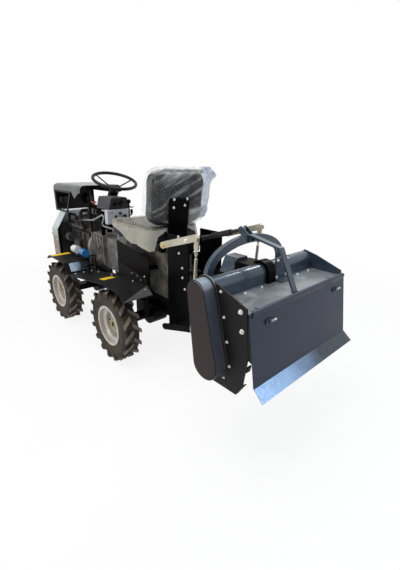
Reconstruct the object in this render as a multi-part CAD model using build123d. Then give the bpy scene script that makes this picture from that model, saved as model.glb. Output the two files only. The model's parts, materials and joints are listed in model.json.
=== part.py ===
from build123d import *
import math
import os

# A mini tractor with a rotary tiller carried on its rear three-point linkage.
# X runs forward, Y to the left, Z up. The wheels stand on Z = 0.
# The sizes below are measured from the rear axle. The model is shifted at the end,
# so that its origin is the middle of its bounding box, on the ground.

os.makedirs("parts", exist_ok=True)

# Running and fitting clearances
PIN_GAP = 0.3
SIDE_GAP = 1.0
CUT_OVERRUN = 5.0

# Wheels
WHEELBASE = 1050.0
TYRE_R = 300.0
TYRE_W = 140.0
WHEEL_Y = 395.0
BEAD_R = 152.0
RIM_W = 115.0
RIM_FLANGE_H = 16.0
RIM_WALL = 5.0
RIM_STEP_R = 118.0
DISC_INSET = 14.0
DISC_T = 7.0
HUB_R = 46.0
HUB_IN = 38.0
HUB_OUT = 18.0
STUB_R = 20.0
TYRE_SIDES = 32
CARCASS_R = 279.0
WALL_R = 238.0
LUG_COUNT = 16
LUG_W = 34.0
LUG_LEAN = 30.0
LUG_ROOT_R = 262.0
LUG_FOOT_R = 252.0
LUG_START = 3.0
HUB_RUN = 6.0

# Front axle and steering
KINGPIN_Y = 295.0
KINGPIN_R = 12.0
AXLE_BOSS_R = 30.0
AXLE_BOSS_H = 60.0
AXLE_BEAM_H = 70.0
AXLE_BEAM_D = 80.0
DIFF_R = 92.0
DIFF_W = 130.0
KNUCKLE_EAR_T = 14.0
KNUCKLE_WALL = 14.0
STEER_ARM = 120.0
STEER_ARM_W = 22.0
TIE_ROD_R = 9.0
BALL_R = 13.0

# Frame
RAIL_Y_IN = 105.0
RAIL_Y_OUT = 145.0
RAIL_Z0 = 450.0
RAIL_Z1 = 550.0
RAIL_WALL = 6.0
RAIL_X1 = 1400.0
CROSS_TUBE_R = 22.0
CROSS_TUBE_INSET = 30.0

# Rear axle
REAR_CASE_R = 95.0
REAR_CASE_W = 150.0
AXLE_TUBE_R = 42.0
AXLE_FLANGE_R = 62.0
AXLE_FLANGE_T = 14.0

# Engine
ENGINE_X0 = 900.0
ENGINE_X1 = 1320.0
SUMP_W = 190.0
SUMP_Z0 = 455.0
BLOCK_W = 280.0
BLOCK_Z0 = 600.0
BLOCK_Z1 = 880.0
HEAD_W = 220.0
HEAD_H = 90.0
COVER_H = 50.0
COVER_INSET = 30.0
TIMING_T = 20.0
PULLEY_T = 20.0
PULLEY_R = (68.0, 40.0)
FAN_R = 165.0
FAN_HUB_L = 42.0
FAN_HUB_R = 30.0
BLADE_W = 48.0
BLADE_T = 3.5
BLADE_PITCH = 30
FAN_BLADES = 6
FLYWHEEL_R = 165.0
FLYWHEEL_T = 50.0
MANIFOLD_Y = 152.0
MANIFOLD_R = 20.0
RUNNER_R = 14.0
CYLINDER_X = (1000.0, 1110.0, 1220.0)
PUMP_X0 = 1060.0
PUMP_X1 = 1190.0
PUMP_W = 42.0
PUMP_Z0 = 700.0
PUMP_Z1 = 785.0
ALTERNATOR_X = 1215.0
ALTERNATOR_L = 85.0
ALTERNATOR_Y = 186.0
ALTERNATOR_Z = 800.0
ALTERNATOR_R = 44.0
SUMP_TAPER = 40.0
RIB_T = 8.0
RIB_H = 10.0
ENGINE_RIB_Z0 = 690.0
COVER_BEVEL = 16.0

# Hoses held at both ends
NECK_Z = 960.0
INTAKE_NECK_X = 1020.0
CONDUIT_NECK_X = 1120.0
WATER_HOSE_R = 14.0
WATER_HOSE_X = 1290.0
WATER_HOSE_Y = 95.0
WATER_HOSE_Z = 1015.0
AIR_HOSE_R = 17.0
AIR_HOSE_Y = 72.0
CONDUIT_R = 7.0
CONDUIT_BEND = 20.0
CONDUIT_Z = 990.0
CONDUIT_LOOP = (
    # x, y, z
    (724.0, 160.0, 1037.0),
    (470.0, 160.0, 1128.0),
    (580.0, 152.0, 1004.0),
    (390.0, 92.0, 975.0),
)

# Air filter, exhaust and fuel filters
FILTER_R = 65.0
FILTER_L = 200.0
FILTER_X0 = 765.0
FILTER_Y = 45.0
FILTER_Z = 1095.0
FILTER_LID_T = 16.0
MUFFLER_R = 48.0
MUFFLER_L = 300.0
MUFFLER_Y = -180.0
MUFFLER_RISE = 12.0
PIPE_R = 17.0
FUEL_FILTER_R = 38.0
FUEL_FILTER_L = 95.0
FUEL_FILTER_Y = 255.0
FUEL_FILTER_Z = 720.0
FUEL_FILTER_X = (940.0, 755.0)

# Gear train
BELL_X0 = 610.0
BELL_W = 280.0
BELL_Z0 = 560.0
BELL_Z1 = 905.0
BELL_TAPER = 60.0
BELL_FLANGE_T = 14.0
BELL_FLANGE_H = 12.0
BELL_RIB_X = (660.0, 720.0, 780.0)
BELL_BOSS_R = 26.0
BELL_BOSS_Z = (670.0, 790.0)
GEARBOX_X0 = 250.0
GEARBOX_TAPER = 35.0
GEAR_COVER_X = (330.0, 540.0)
GEAR_COVER_Z = (640.0, 810.0)
GEAR_COVER_LUG = 28.0
SHIFT_TOWER_X = (290.0, 380.0)
SHIFT_TOWER_H = 60.0
SHIFT_TOWER_BEVEL = 15.0
GEARBOX_W = 210.0
GEARBOX_Z1 = 880.0
REAR_BOX_X1 = 250.0
REAR_BOX_Z0 = 455.0
REAR_BOX_Z1 = 905.0
REAR_RIB_COUNT = 5
REAR_RIB_Z1 = 750.0
PTO_STUB_R = 17.0
PTO_PLATE_T = 18.0

# Side plates beside the gearbox, under the seat
SIDE_PLATE_Y = 200.0
SIDE_PLATE_T = 5.0
SIDE_PLATE_X0 = -250.0
SIDE_PLATE_X1 = 220.0
SIDE_PLATE_RISE = 80.0
SIDE_PLATE_Z0 = 660.0
SIDE_PLATE_H = 200.0
SIDE_PLATE_LAP = 15.0
SIDE_BAR_W = 26.0

# Foot platforms and mudguards
STEP_Y_IN = 205.0
STEP_Y_OUT = 462.0
STEP_T = 4.0
STEP_TOP_Z = 645.0
STEP_FLOOR_Z = 548.0
STEP_NOSE_X = 1200.0
STEP_LIP_X = 1262.0
STEP_LIP_Z = 603.0
STEP_RISER_X1 = 805.0
STEP_RISER_X0 = 752.0
STEP_REAR_X1 = 30.0
STEP_REAR_X0 = -215.0
STEP_TAIL_X = -285.0
STEP_TAIL_Z = 588.0
STEP_BRACKET_X = (640.0, 330.0, -120.0)
STEP_BRACKET_W = 40.0
STEP_BRACKET_T = 8.0

# Radiator surround at the nose
SURROUND_X0 = 1402.0
SURROUND_X1 = 1560.0
SURROUND_W = 540.0
SURROUND_TOP_W = 300.0
SURROUND_Z0 = 556.0
SURROUND_SHOULDER_Z = 865.0
SURROUND_TOP_Z = 1050.0
SURROUND_T = 5.0
NOSE_FLOOR_LAP = 48.0
RADIATOR_X0 = 1440.0
RADIATOR_T = 60.0
RADIATOR_W = 440.0
RADIATOR_TOP_GAP = 18.0
HINGE_EAR_W = 16.0
HINGE_PIN_R = 4.0
SURROUND_HOLE_R = 6.0
SURROUND_HOLE_Z = 945.0
SURROUND_HOLE_X = 1440.0
SURROUND_WINDOW_LOW = 80.0
NOSE_PIN_R = 14.0
NOSE_PIN_L = 26.0
NOSE_PIN_Z = (700.0, 868.0)
NOSE_PIN_Y = 235.0

# Hood
HOOD_X0 = 830.0
HOOD_X1 = 1500.0
HOOD_HALF_W = 218.0
HOOD_GAP = 12.0
HOOD_H = 283.0
HOOD_T = 4.0
HOOD_SHOULDER_R = 48.0
HOOD_SKIRT_H = 65.0
HOOD_LOBE = (145.0, 130.0)
HOOD_LOBE_FRONT = 205.0
lobe_shares = ((0.33, 0.08), (0.67, 0.25))
HOOD_HINGE_R = 8.0
HOOD_HINGE_X = 1488.0
FASCIA_T = 12.0
FASCIA_BAR = 18.0
FASCIA_TOP_X = 1052.0
FASCIA_FOOT_X = 1200.0
FASCIA_FOOT_RISE = 26.0
GRILLE_BARS = 7
LAMP_R = 42.0
LAMP_RING = 6.0
LAMP_T = 18.0
LAMP_Y = 150.0
HOOD_POST_R = 10.0

# Steering column, dashboard and controls
STEER_WHEEL_X = 555.0
STEER_WHEEL_Z = 1395.0
STEER_WHEEL_R = 190.0
STEER_RIM_R = 14.0
STEER_RIM_SIDES = 10
STEER_TILT = 19.5
STEER_DISH = 55.0
STEER_HUB_R = 30.0
STEER_HUB_L = 45.0
SPOKE_R = 6.0
SPOKE_ANGLES = (35, 155, 275)
COLUMN_R = 26.0
BOOT_R = 46.0
BOOT_L = 95.0
DASH_X0 = 320.0
DASH_X1 = 610.0
DASH_W = 300.0
DASH_Z0 = 1160.0
DASH_H = 105.0
DASH_LEAN = 42.0
DASH_SHELF_L = 120.0
CONTROL_BOX_X = 395.0
CONTROL_BOX_T = 50.0
CONTROL_BOX_Y0 = -30.0
CONTROL_BOX_Y1 = 180.0
CONTROL_BOX_Z0 = 1040.0
CONTROL_BOX_H = 120.0
LEVER_X = 335.0
LEVER_Y = 0.0
LEVER_TOP_Z = 1230.0
THROTTLE_Y = -75.0
THROTTLE_Z = 1150.0
LEVER_R = 6.0
KNOB_R = 19.0
PEDAL_Y = 320.0
PEDAL_X = 560.0
PEDAL_W = 70.0
PEDAL_L = 95.0
PEDAL_T = 8.0
PEDAL_TILT = 25
PEDAL_Z = 655.0

# Seat
SEAT_X0 = -320.0
SEAT_X1 = 255.0
SEAT_W = 460.0
SEAT_Z0 = 1000.0
SEAT_H = 95.0
SEAT_BASE_T = 22.0
SEAT_BASE_INSET = 40.0
SEAT_LEG_W = 40.0
BACK_W = 480.0
BACK_T = 95.0
BACK_H = 390.0
BACK_LEAN = 7.0
BACK_X = -345.0
BACK_Z0 = 1112.0
BRACKET_W = 180.0
BRACKET_T = 12.0
BRACKET_Z0 = 1050.0
BRACKET_H = 260.0

# Rear posts and three-point linkage, pivots as X and Z
POST_Y = 150.0
POST_T = 10.0
POST_FLANGE = 36.0
POST_X0 = -655.0
POST_X1 = -428.0
POST_Z0 = 395.0
POST_Z1 = 1085.0
LINK_RUN = 363.0
LINK_RISE = 111.0
LOWER_PIVOT = (-530.0, 440.0)
TOP_PIVOT = (-617.0, 1059.0)
LIFT_PIVOT = (-567.0, 1045.0)
SHAFT_PIVOT = (-567.0, 789.0)
LIFT_ARM_RUN = 316.0
LIFT_ARM_RISE = 96.0
LINK_Y = 271.0
LINK_T = 12.0
LINK_W = 44.0
LINK_PIN_R = 11.0
LIFT_PIN_R = 9.0
LIFT_SHAFT_R = 14.0
LIFT_ARM_W = 42.0
LIFT_ROD_R = 11.0
LIFT_END_R = 5.0
LIFT_CLEVIS_W = 34.0
LIFT_CLEVIS_L = 62.0
LIFT_SLEEVE_L = 150.0
TOP_ROD_R = 11.0
TOP_SLEEVE_R = 19.0
TOP_SLEEVE_L = 170.0
TOP_EYE_W = 30.0
TOP_EYE_R = 17.0
TOP_EAR_T = 8.0
TOP_EAR_R = 22.0
TOP_BRACKET_RISE = 88.0
SHAFT_TUBE_R = 27.0
SHAFT_EYE_R = 20.0
SHAFT_EYE_W = 34.0
SHAFT_NECK_R = 14.0
SHAFT_PIN_R = 7.0
FORK_T = 8.0
FORK_REACH = 34.0
OUTLET_R = 66.0
SHAFT_YOKE_L = 70.0

# Rotary tiller
TUBE_X = -1115.0
TUBE_Z = 930.0
TUBE_R = 55.0
CASE_Y0 = 432.0
CASE_Y1 = 512.0
CASE_TOP_R = 65.0
CASE_BOTTOM_R = 88.0
CASE_FLANGE_T = 6.0
CASE_FLANGE_W = 12.0
CASE_LID_T = 5.0
CASE_LID_INSET = 6.0
ROTOR_X = -1190.0
ROTOR_Z = 545.0
ROTOR_R = 160.0
ROTOR_TUBE_R = 38.0
JOURNAL_R = 18.0
ROTOR_Y0 = -490.0
ROTOR_Y1 = 405.0
ROTOR_FLANGE_R = 75.0
ROTOR_FLANGE_T = 8.0
FLANGE_COUNT = 8
TINE_T = 8.0
TINE_W = 38.0
TINE_FOOT = 42.0
TINE_BEND = 10.0
TINE_COUNT = 4
END_PLATE_T = 8.0
END_PLATE_Y1 = 432.0
END_PLATE_Y0 = -512.0
END_PLATE_FRONT_X = -1046.0
DECK_T = 5.0
DECK_X1 = -1060.0
DECK_X0 = -1388.0
SKID_T = 8.0
SKID_W = 24.0
SKID_Z = 408.0
END_PLATE_NECK_X = -1206.0
END_PLATE_TOP_Z = 972.0
END_PLATE_CROWN_Z = 994.0
END_PLATE_BACK_Z = 906.0
END_PLATE_BULGE_X = -1413.0
END_PLATE_BULGE_Z = 654.0
END_PLATE_HEEL_X = -1391.0
END_PLATE_HEEL_Z = 488.0
SKID_BACK_X = -1346.0
SKID_FRONT_X = -1130.0
FLAP_T = 6.0
FLAP_TOP_X = -1402.0
FLAP_TOP_Z = 870.0
FLAP_CLEAR = 108.0
FLAP_BOTTOM_Z = 505.0
FLAP_TIP_REACH = 67.0
FLAP_TIP_Z = 448.0
FLAP_HINGE_R = 6.0
FLAP_BARREL_R = 11.0
FLAP_HINGE_RISE = 12.0
FLAP_LUG_W = 30.0
LATCH_Y = (300.0, -380.0)
LATCH_DROP = 55.0
LATCH_W = 40.0
LATCH_H = 26.0
LATCH_T = 8.0
LATCH_PIN_R = 6.0
LATCH_PIN_L = 34.0
flap_lug_shares = (0.12, 0.5, 0.88)
ARCH_X = -1012.0
ARCH_D = 30.0
ARCH_W = 50.0
ARCH_FOOT_Y = 358.0
ARCH_FOOT_Z = 960.0
ARCH_TOP_Z = 1150.0
ARCH_WALL = 6.0
STRUT_W = 40.0
STRUT_T = 12.0
STRUT_KNEE = (-1262.0, 1096.0)
STRUT_FOOT_X = -1378.0
GEARCASE_X0 = -1060.0
GEARCASE_X1 = -985.0
GEARCASE_W = 140.0
GEARCASE_Z0 = 832.0
GEARCASE_Z1 = 985.0
BAND_Y0 = -75.0
BAND_Y1 = -5.0
BAND_T = 18.0
CHAIN_PLATE_Y0 = -215.0
CHAIN_PLATE_Y1 = -85.0
CHAIN_PLATE_TOP = 1015.0
CHAIN_PLATE_T = 6.0
CHAIN_PLATE_FOOT = 55.0
CHAIN_PLATE_HOLE_R = 16.0
HITCH_PLATE_Y = 245.0
HITCH_PLATE_T = 12.0
SHIELD_X1 = -880.0
SHIELD_HALF_W = 90.0
SHIELD_TOP_W = 90.0
SHIELD_Z0 = 905.0
SHIELD_Z1 = 1000.0
SHIELD_T = 4.0

# Points worked out from the sizes above
SHIELD_X0 = GEARCASE_X1
DECK_Z = TUBE_Z - TUBE_R
HOOD_Z0 = SURROUND_TOP_Z + HOOD_GAP
HOOD_Z1 = HOOD_Z0 + HOOD_H
HOOD_SKIRT_Z = HOOD_Z1 - HOOD_SKIRT_H
RAIL_X0 = POST_X1
REAR_BOX_X0 = POST_X1
REAR_BOX_W = RAIL_Y_IN * 2
LOWER_END = (LOWER_PIVOT[0] - LINK_RUN, LOWER_PIVOT[1] + LINK_RISE)
TOP_END = (TOP_PIVOT[0] - LINK_RUN, TOP_PIVOT[1] + LINK_RISE)
SHAFT_END = (SHAFT_PIVOT[0] - LINK_RUN, SHAFT_PIVOT[1] + LINK_RISE)
LIFT_ARM_END = (LIFT_PIVOT[0] - LIFT_ARM_RUN, LIFT_PIVOT[1] + LIFT_ARM_RISE)
LIFT_ROD_END = (
    LIFT_ARM_END[0] + LOWER_PIVOT[0] - LIFT_PIVOT[0],
    LIFT_ARM_END[1] + LOWER_PIVOT[1] - LIFT_PIVOT[1],
)
RADIATOR_Z1 = (
    SURROUND_SHOULDER_Z
    - RADIATOR_TOP_GAP
    + (SURROUND_TOP_Z - SURROUND_SHOULDER_Z)
    * (SURROUND_W - RADIATOR_W)
    / (SURROUND_W - SURROUND_TOP_W)
)
FLAP_BOTTOM_X = ROTOR_X - ROTOR_R - FLAP_CLEAR
FLAP_TIP_X = FLAP_BOTTOM_X - FLAP_TIP_REACH
FRONT_REACH = SURROUND_X1 + NOSE_PIN_L
REAR_REACH = -FLAP_TIP_X
FLAP_HINGE = (FLAP_TOP_X - FLAP_T / 2, FLAP_TOP_Z + FLAP_HINGE_RISE)
REAR_AXLE_X = (REAR_REACH - FRONT_REACH) / 2

shapes = {}


def block(x0, x1, y0, y1, z0, z1):
    """Box between its lowest and highest corners."""
    middle = Pos((x0 + x1) / 2, (y0 + y1) / 2, (z0 + z1) / 2)
    return middle * Box(x1 - x0, y1 - y0, z1 - z0)


def side_profile(points, y0, y1):
    """Outline of X and Z points, from y0 to y1."""
    face = make_face(Polyline(*points, close=True))
    return Pos(0, y1, 0) * extrude(Plane.XZ * face, amount=y1 - y0)


def front_profile(points, x0, x1):
    """Outline of Y and Z points, from x0 to x1."""
    face = make_face(Polyline(*points, close=True))
    return Pos(x0, 0, 0) * extrude(Plane.YZ * face, amount=x1 - x0)


def rod(start, end, radius):
    """Round bar between two points."""
    run = Vector(*end) - Vector(*start)
    return extrude(Plane(origin=start, z_dir=run) * Circle(radius), amount=run.length)


def cross_bar(place, radius, y0, y1):
    """Round bar across the machine at an X and Z place."""
    return rod((place[0], y0, place[1]), (place[0], y1, place[1]), radius)


def bar_between(start, end, width, y0, y1):
    """Flat bar with round ends between two X and Z places."""
    run = Vector(end[0] - start[0], end[1] - start[1])
    angle = math.degrees(math.atan2(run.Y, run.X))
    slot = Pos(run.length / 2, 0) * SlotCenterToCenter(run.length, width)
    slot = Plane.XZ * (Pos(*start) * Rot(0, 0, angle) * slot)
    return Pos(0, y1, 0) * extrude(slot, amount=y1 - y0)


def tapered_bar(start, start_r, end, end_r, y0, y1):
    """Flat bar between two X and Z places, each with its own round end."""
    run = Vector(end[0] - start[0], end[1] - start[1])
    angle = math.atan2(run.Y, run.X)
    spread = math.acos((start_r - end_r) / run.length)
    corners = []
    for place, radius, turns in ((start, start_r, (spread, -spread)), (end, end_r, (-spread, spread))):
        for turn in turns:
            corners.append(
                (place[0] + radius * math.cos(angle + turn), place[1] + radius * math.sin(angle + turn))
            )
    bar = side_profile(corners, y0, y1)
    return bar + cross_bar(start, start_r, y0, y1) + cross_bar(end, end_r, y0, y1)


def both_sides(shape):
    """The shape and its mirror image across the centre plane, as separate solids."""
    return Compound(children=[shape, mirror(shape, about=Plane.XZ)])


def wheel_turned(points, place, side):
    """Revolve a section of outboard distance and radius about a wheel's axle."""
    section = make_face(Polyline(*[(side * out, radius) for out, radius in points], close=True))
    turned = revolve(Plane.YZ * section, axis=Axis.Y)
    return Pos(place[0], side * WHEEL_Y, place[1]) * turned


def keep(name, shape):
    shapes[name] = shape


# Wheels: each tyre is one lugged ring, each rim a stepped dish with its hub
def flat_face(corners):
    """Flat face through a closed line of corners."""
    return make_face(Polyline(*corners, close=True)).face()


def flat_ring(bands):
    """Many-sided body about the Y axis through bands, each an outboard distance and a radius."""
    step = 2 * math.pi / TYRE_SIDES
    rings = [
        [(radius * math.sin(step * turn), out, radius * math.cos(step * turn)) for turn in range(TYRE_SIDES)]
        for out, radius in bands
    ]
    faces = [flat_face(rings[0]), flat_face(rings[-1])]
    for near, far in zip(rings, rings[1:]):
        for turn in range(TYRE_SIDES):
            before = turn - 1
            faces.append(flat_face([near[before], near[turn], far[turn], far[before]]))
    return Part() + Solid(Shell(faces))


def make_lug():
    """Lug at the top of the tyre's left half, leaning forward to the middle of the tread."""
    half = TYRE_W / 2
    reach = LUG_LEAN + LUG_W / 2
    top = math.sqrt(TYRE_R**2 - reach**2)
    section = [(LUG_START, LUG_ROOT_R), (LUG_START, top), (half, top), (half, LUG_FOOT_R)]
    outline = [
        (reach, LUG_START),
        (LUG_LEAN - LUG_W / 2, LUG_START),
        (-reach, half),
        (LUG_W / 2 - LUG_LEAN, half),
    ]
    bar = front_profile(section, -reach, reach)
    post = extrude(make_face(Polyline(*outline, close=True)), amount=TYRE_R, dir=(0, 0, 1))
    return post & bar


def make_tyre():
    """Tyre at the origin, its axle along Y: a carcass with leaning lugs on both sides of the tread."""
    bead = RIM_W / 2
    half = TYRE_W / 2
    round_out = 1 / math.cos(math.pi / TYRE_SIDES)
    flange_r = (BEAD_R + RIM_FLANGE_H + SIDE_GAP) * round_out
    bore_r = BEAD_R * round_out
    carcass = flat_ring([(-half, WALL_R), (-bead, CARCASS_R), (bead, CARCASS_R), (half, WALL_R)])
    recess = flat_ring([(-half, WALL_R), (-bead, flange_r)])
    left = make_lug()
    right = mirror(left, about=Plane.XZ)
    pitch = 360 / LUG_COUNT
    lugs = []
    for index in range(LUG_COUNT):
        lugs.append(Rot(0, pitch * index, 0) * left)
        lugs.append(Rot(0, pitch * (index + 0.5), 0) * right)
    tyre = carcass - recess - mirror(recess, about=Plane.XZ) + lugs
    return tyre - flat_ring([(-half, bore_r), (half, bore_r)])


def make_rim(place, side):
    edge = RIM_W / 2
    flange_r = BEAD_R + RIM_FLANGE_H
    well_r = BEAD_R - RIM_WALL
    step_out = edge / 2
    disc_out = -DISC_INSET
    bore = STUB_R + PIN_GAP
    points = [
        (-edge - RIM_WALL, flange_r),
        (-edge, flange_r),
        (-edge, BEAD_R),
        (edge, BEAD_R),
        (edge, flange_r),
        (edge + RIM_WALL, flange_r),
        (edge + RIM_WALL, well_r),
        (step_out, well_r),
        (step_out - DISC_INSET, RIM_STEP_R),
        (disc_out, RIM_STEP_R),
        (disc_out, HUB_R),
        (HUB_OUT, HUB_R),
        (HUB_OUT, bore),
        (-HUB_IN, bore),
        (-HUB_IN, HUB_R),
        (disc_out - DISC_T, HUB_R),
        (disc_out - DISC_T, RIM_STEP_R + DISC_T),
        (step_out - DISC_INSET - DISC_T, RIM_STEP_R + DISC_T),
        (step_out - DISC_INSET, well_r - RIM_WALL),
        (-edge - RIM_WALL, well_r),
    ]
    return wheel_turned(points, place, side)


WHEELS = {
    # name: (x of the axle, side)
    "front_left": (WHEELBASE, 1),
    "front_right": (WHEELBASE, -1),
    "rear_left": (0.0, 1),
    "rear_right": (0.0, -1),
}
tyre_form = make_tyre()
for wheel, (axle_x, side) in WHEELS.items():
    keep("tyre_" + wheel, Pos(axle_x, side * WHEEL_Y, TYRE_R) * tyre_form)
    keep("rim_" + wheel, make_rim((axle_x, TYRE_R), side))


# Front axle: a beam with a round differential case and an upright boss at each end
def make_front_axle():
    beam_end = KINGPIN_Y
    half = AXLE_BEAM_H / 2
    beam = block(
        WHEELBASE - AXLE_BEAM_D / 2,
        WHEELBASE + AXLE_BEAM_D / 2,
        -beam_end,
        beam_end,
        TYRE_R - AXLE_BOSS_H / 2,
        TYRE_R + AXLE_BOSS_H / 2,
    )
    beam += cross_bar((WHEELBASE, TYRE_R), DIFF_R, -DIFF_W / 2, DIFF_W / 2)
    pillar = block(
        WHEELBASE - half, WHEELBASE + half, -RAIL_Y_OUT, RAIL_Y_OUT, TYRE_R, RAIL_Z0
    )
    beam += pillar
    for side in (1, -1):
        top = TYRE_R + AXLE_BOSS_H / 2
        low = TYRE_R - AXLE_BOSS_H / 2
        place = side * KINGPIN_Y
        beam += rod((WHEELBASE, place, low), (WHEELBASE, place, top), AXLE_BOSS_R)
        reach = AXLE_BOSS_R + CUT_OVERRUN
        beam -= block(
            WHEELBASE - AXLE_BEAM_D,
            WHEELBASE + AXLE_BEAM_D,
            min(place, side * (KINGPIN_Y + reach)),
            max(place, side * (KINGPIN_Y + reach)),
            low - CUT_OVERRUN,
            top + CUT_OVERRUN,
        ) - rod((WHEELBASE, place, low), (WHEELBASE, place, top), AXLE_BOSS_R)
        bore = KINGPIN_R + PIN_GAP
        beam -= rod(
            (WHEELBASE, place, low - CUT_OVERRUN), (WHEELBASE, place, top + CUT_OVERRUN), bore
        )
    return beam


def make_knuckle(side):
    ear_low = TYRE_R - AXLE_BOSS_H / 2 - SIDE_GAP - KNUCKLE_EAR_T
    ear_high = TYRE_R + AXLE_BOSS_H / 2 + SIDE_GAP + KNUCKLE_EAR_T
    wall_in = KINGPIN_Y + AXLE_BOSS_R + HUB_RUN
    wall_out = wall_in + KNUCKLE_WALL
    place = side * KINGPIN_Y
    body = rod((WHEELBASE, place, ear_low), (WHEELBASE, place, ear_high), KINGPIN_R)
    for low in (ear_low, ear_high - KNUCKLE_EAR_T):
        ear = rod((WHEELBASE, place, low), (WHEELBASE, place, low + KNUCKLE_EAR_T), AXLE_BOSS_R)
        ear += block(
            WHEELBASE - AXLE_BOSS_R,
            WHEELBASE + AXLE_BOSS_R,
            min(place, side * wall_out),
            max(place, side * wall_out),
            low,
            low + KNUCKLE_EAR_T,
        )
        body += ear
    body += block(
        WHEELBASE - AXLE_BOSS_R,
        WHEELBASE + AXLE_BOSS_R,
        min(side * wall_in, side * wall_out),
        max(side * wall_in, side * wall_out),
        ear_low,
        ear_high,
    )
    body += rod(
        (WHEELBASE, side * wall_out, TYRE_R),
        (WHEELBASE, side * (WHEEL_Y + HUB_OUT), TYRE_R),
        STUB_R,
    )
    arm_x = WHEELBASE + STEER_ARM
    arm_z = ear_high - KNUCKLE_EAR_T
    arm = block(
        WHEELBASE, arm_x, place - STEER_ARM_W / 2, place + STEER_ARM_W / 2, arm_z, ear_high
    )
    arm += rod((arm_x, place, arm_z), (arm_x, place, ear_high), BALL_R)
    arm += rod((arm_x, place, TYRE_R - BALL_R), (arm_x, place, arm_z), TIE_ROD_R)
    return body + arm


def make_tie_rod():
    x = WHEELBASE + STEER_ARM
    bar = rod((x, -KINGPIN_Y, TYRE_R), (x, KINGPIN_Y, TYRE_R), TIE_ROD_R)
    for side in (1, -1):
        place = side * KINGPIN_Y
        low = TYRE_R - BALL_R
        high = TYRE_R + BALL_R
        bar += rod((x, place, low), (x, place, high), BALL_R + TIE_ROD_R / 2)
    for side in (1, -1):
        place = side * KINGPIN_Y
        low = TYRE_R - BALL_R - CUT_OVERRUN
        high = TYRE_R + BALL_R + CUT_OVERRUN
        bar -= rod((x, place, low), (x, place, high), TIE_ROD_R + PIN_GAP)
    return bar


keep("front_axle", make_front_axle())
keep("knuckle_left", make_knuckle(1))
keep("knuckle_right", make_knuckle(-1))
keep("tie_rod", make_tie_rod())


# Frame rails: two channels, open to the outside, with round cross tubes
def make_frame():
    rail = block(RAIL_X0, RAIL_X1, RAIL_Y_IN, RAIL_Y_OUT, RAIL_Z0, RAIL_Z1)
    rail -= block(
        RAIL_X0 - CUT_OVERRUN,
        RAIL_X1 + CUT_OVERRUN,
        RAIL_Y_IN + RAIL_WALL,
        RAIL_Y_OUT + CUT_OVERRUN,
        RAIL_Z0 + RAIL_WALL,
        RAIL_Z1 - RAIL_WALL,
    )
    frame = rail + mirror(rail, about=Plane.XZ)
    middle_z = (RAIL_Z0 + RAIL_Z1) / 2
    place = (RAIL_X1 - CROSS_TUBE_INSET, middle_z)
    return frame + cross_bar(place, CROSS_TUBE_R, -RAIL_Y_IN, RAIL_Y_IN)


def make_rear_axle():
    case = cross_bar((0, TYRE_R), REAR_CASE_R, -REAR_CASE_W / 2, REAR_CASE_W / 2)
    flange_out = WHEEL_Y - HUB_IN - HUB_RUN
    case += block(
        -AXLE_FLANGE_R, AXLE_FLANGE_R, -RAIL_Y_OUT, RAIL_Y_OUT, TYRE_R, RAIL_Z0
    )
    case += cross_bar((0, TYRE_R), AXLE_TUBE_R, -flange_out, flange_out)
    stub_out = WHEEL_Y + HUB_OUT
    case += cross_bar((0, TYRE_R), STUB_R, -stub_out, stub_out)
    for side in (1, -1):
        inner = side * (flange_out - AXLE_FLANGE_T)
        outer = side * flange_out
        case += cross_bar((0, TYRE_R), AXLE_FLANGE_R, min(inner, outer), max(inner, outer))
    return case


keep("rear_axle", make_rear_axle())


# Engine: one heavy block with the head, covers, pulleys and fan that show
def make_engine_block():
    """One closed block: tapered sump, crankcase with upright ribs, injection pump and alternator."""
    x0 = ENGINE_X0
    x1 = ENGINE_X1
    half = BLOCK_W / 2
    sump_half = SUMP_W / 2
    section = [
        (-sump_half + SUMP_TAPER / 2, SUMP_Z0),
        (-sump_half, SUMP_Z0 + SUMP_TAPER),
        (-sump_half, RAIL_Z1),
        (-RAIL_Y_OUT, RAIL_Z1),
        (-RAIL_Y_OUT, BLOCK_Z0),
        (-half, BLOCK_Z0),
        (-half, BLOCK_Z1),
        (half, BLOCK_Z1),
        (half, BLOCK_Z0),
        (RAIL_Y_OUT, BLOCK_Z0),
        (RAIL_Y_OUT, RAIL_Z1),
        (sump_half, RAIL_Z1),
        (sump_half, SUMP_Z0 + SUMP_TAPER),
        (sump_half - SUMP_TAPER / 2, SUMP_Z0),
    ]
    engine = front_profile(section, x0, x1)
    for x in CYLINDER_X:
        engine += block(
            x - RIB_T / 2, x + RIB_T / 2, -half - RIB_H, half + RIB_H, ENGINE_RIB_Z0, BLOCK_Z1 - RIB_H
        )
    engine += block(PUMP_X0, PUMP_X1, half, half + PUMP_W, PUMP_Z0, PUMP_Z1)
    pump_y = half + PUMP_W / 2
    for index in range(len(CYLINDER_X)):
        x = PUMP_X0 + (PUMP_X1 - PUMP_X0) * (index + 0.5) / len(CYLINDER_X)
        engine += rod((x, pump_y, PUMP_Z1), (x, pump_y, PUMP_Z1 + RUNNER_R), RUNNER_R)
    engine += rod(
        (ALTERNATOR_X, ALTERNATOR_Y, ALTERNATOR_Z),
        (ALTERNATOR_X + ALTERNATOR_L, ALTERNATOR_Y, ALTERNATOR_Z),
        ALTERNATOR_R,
    )
    engine += block(
        ALTERNATOR_X + RIB_T,
        ALTERNATOR_X + ALTERNATOR_L - RIB_T,
        half,
        ALTERNATOR_Y,
        ALTERNATOR_Z + RIB_H,
        ALTERNATOR_Z + ALTERNATOR_R,
    )
    return engine


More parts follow.
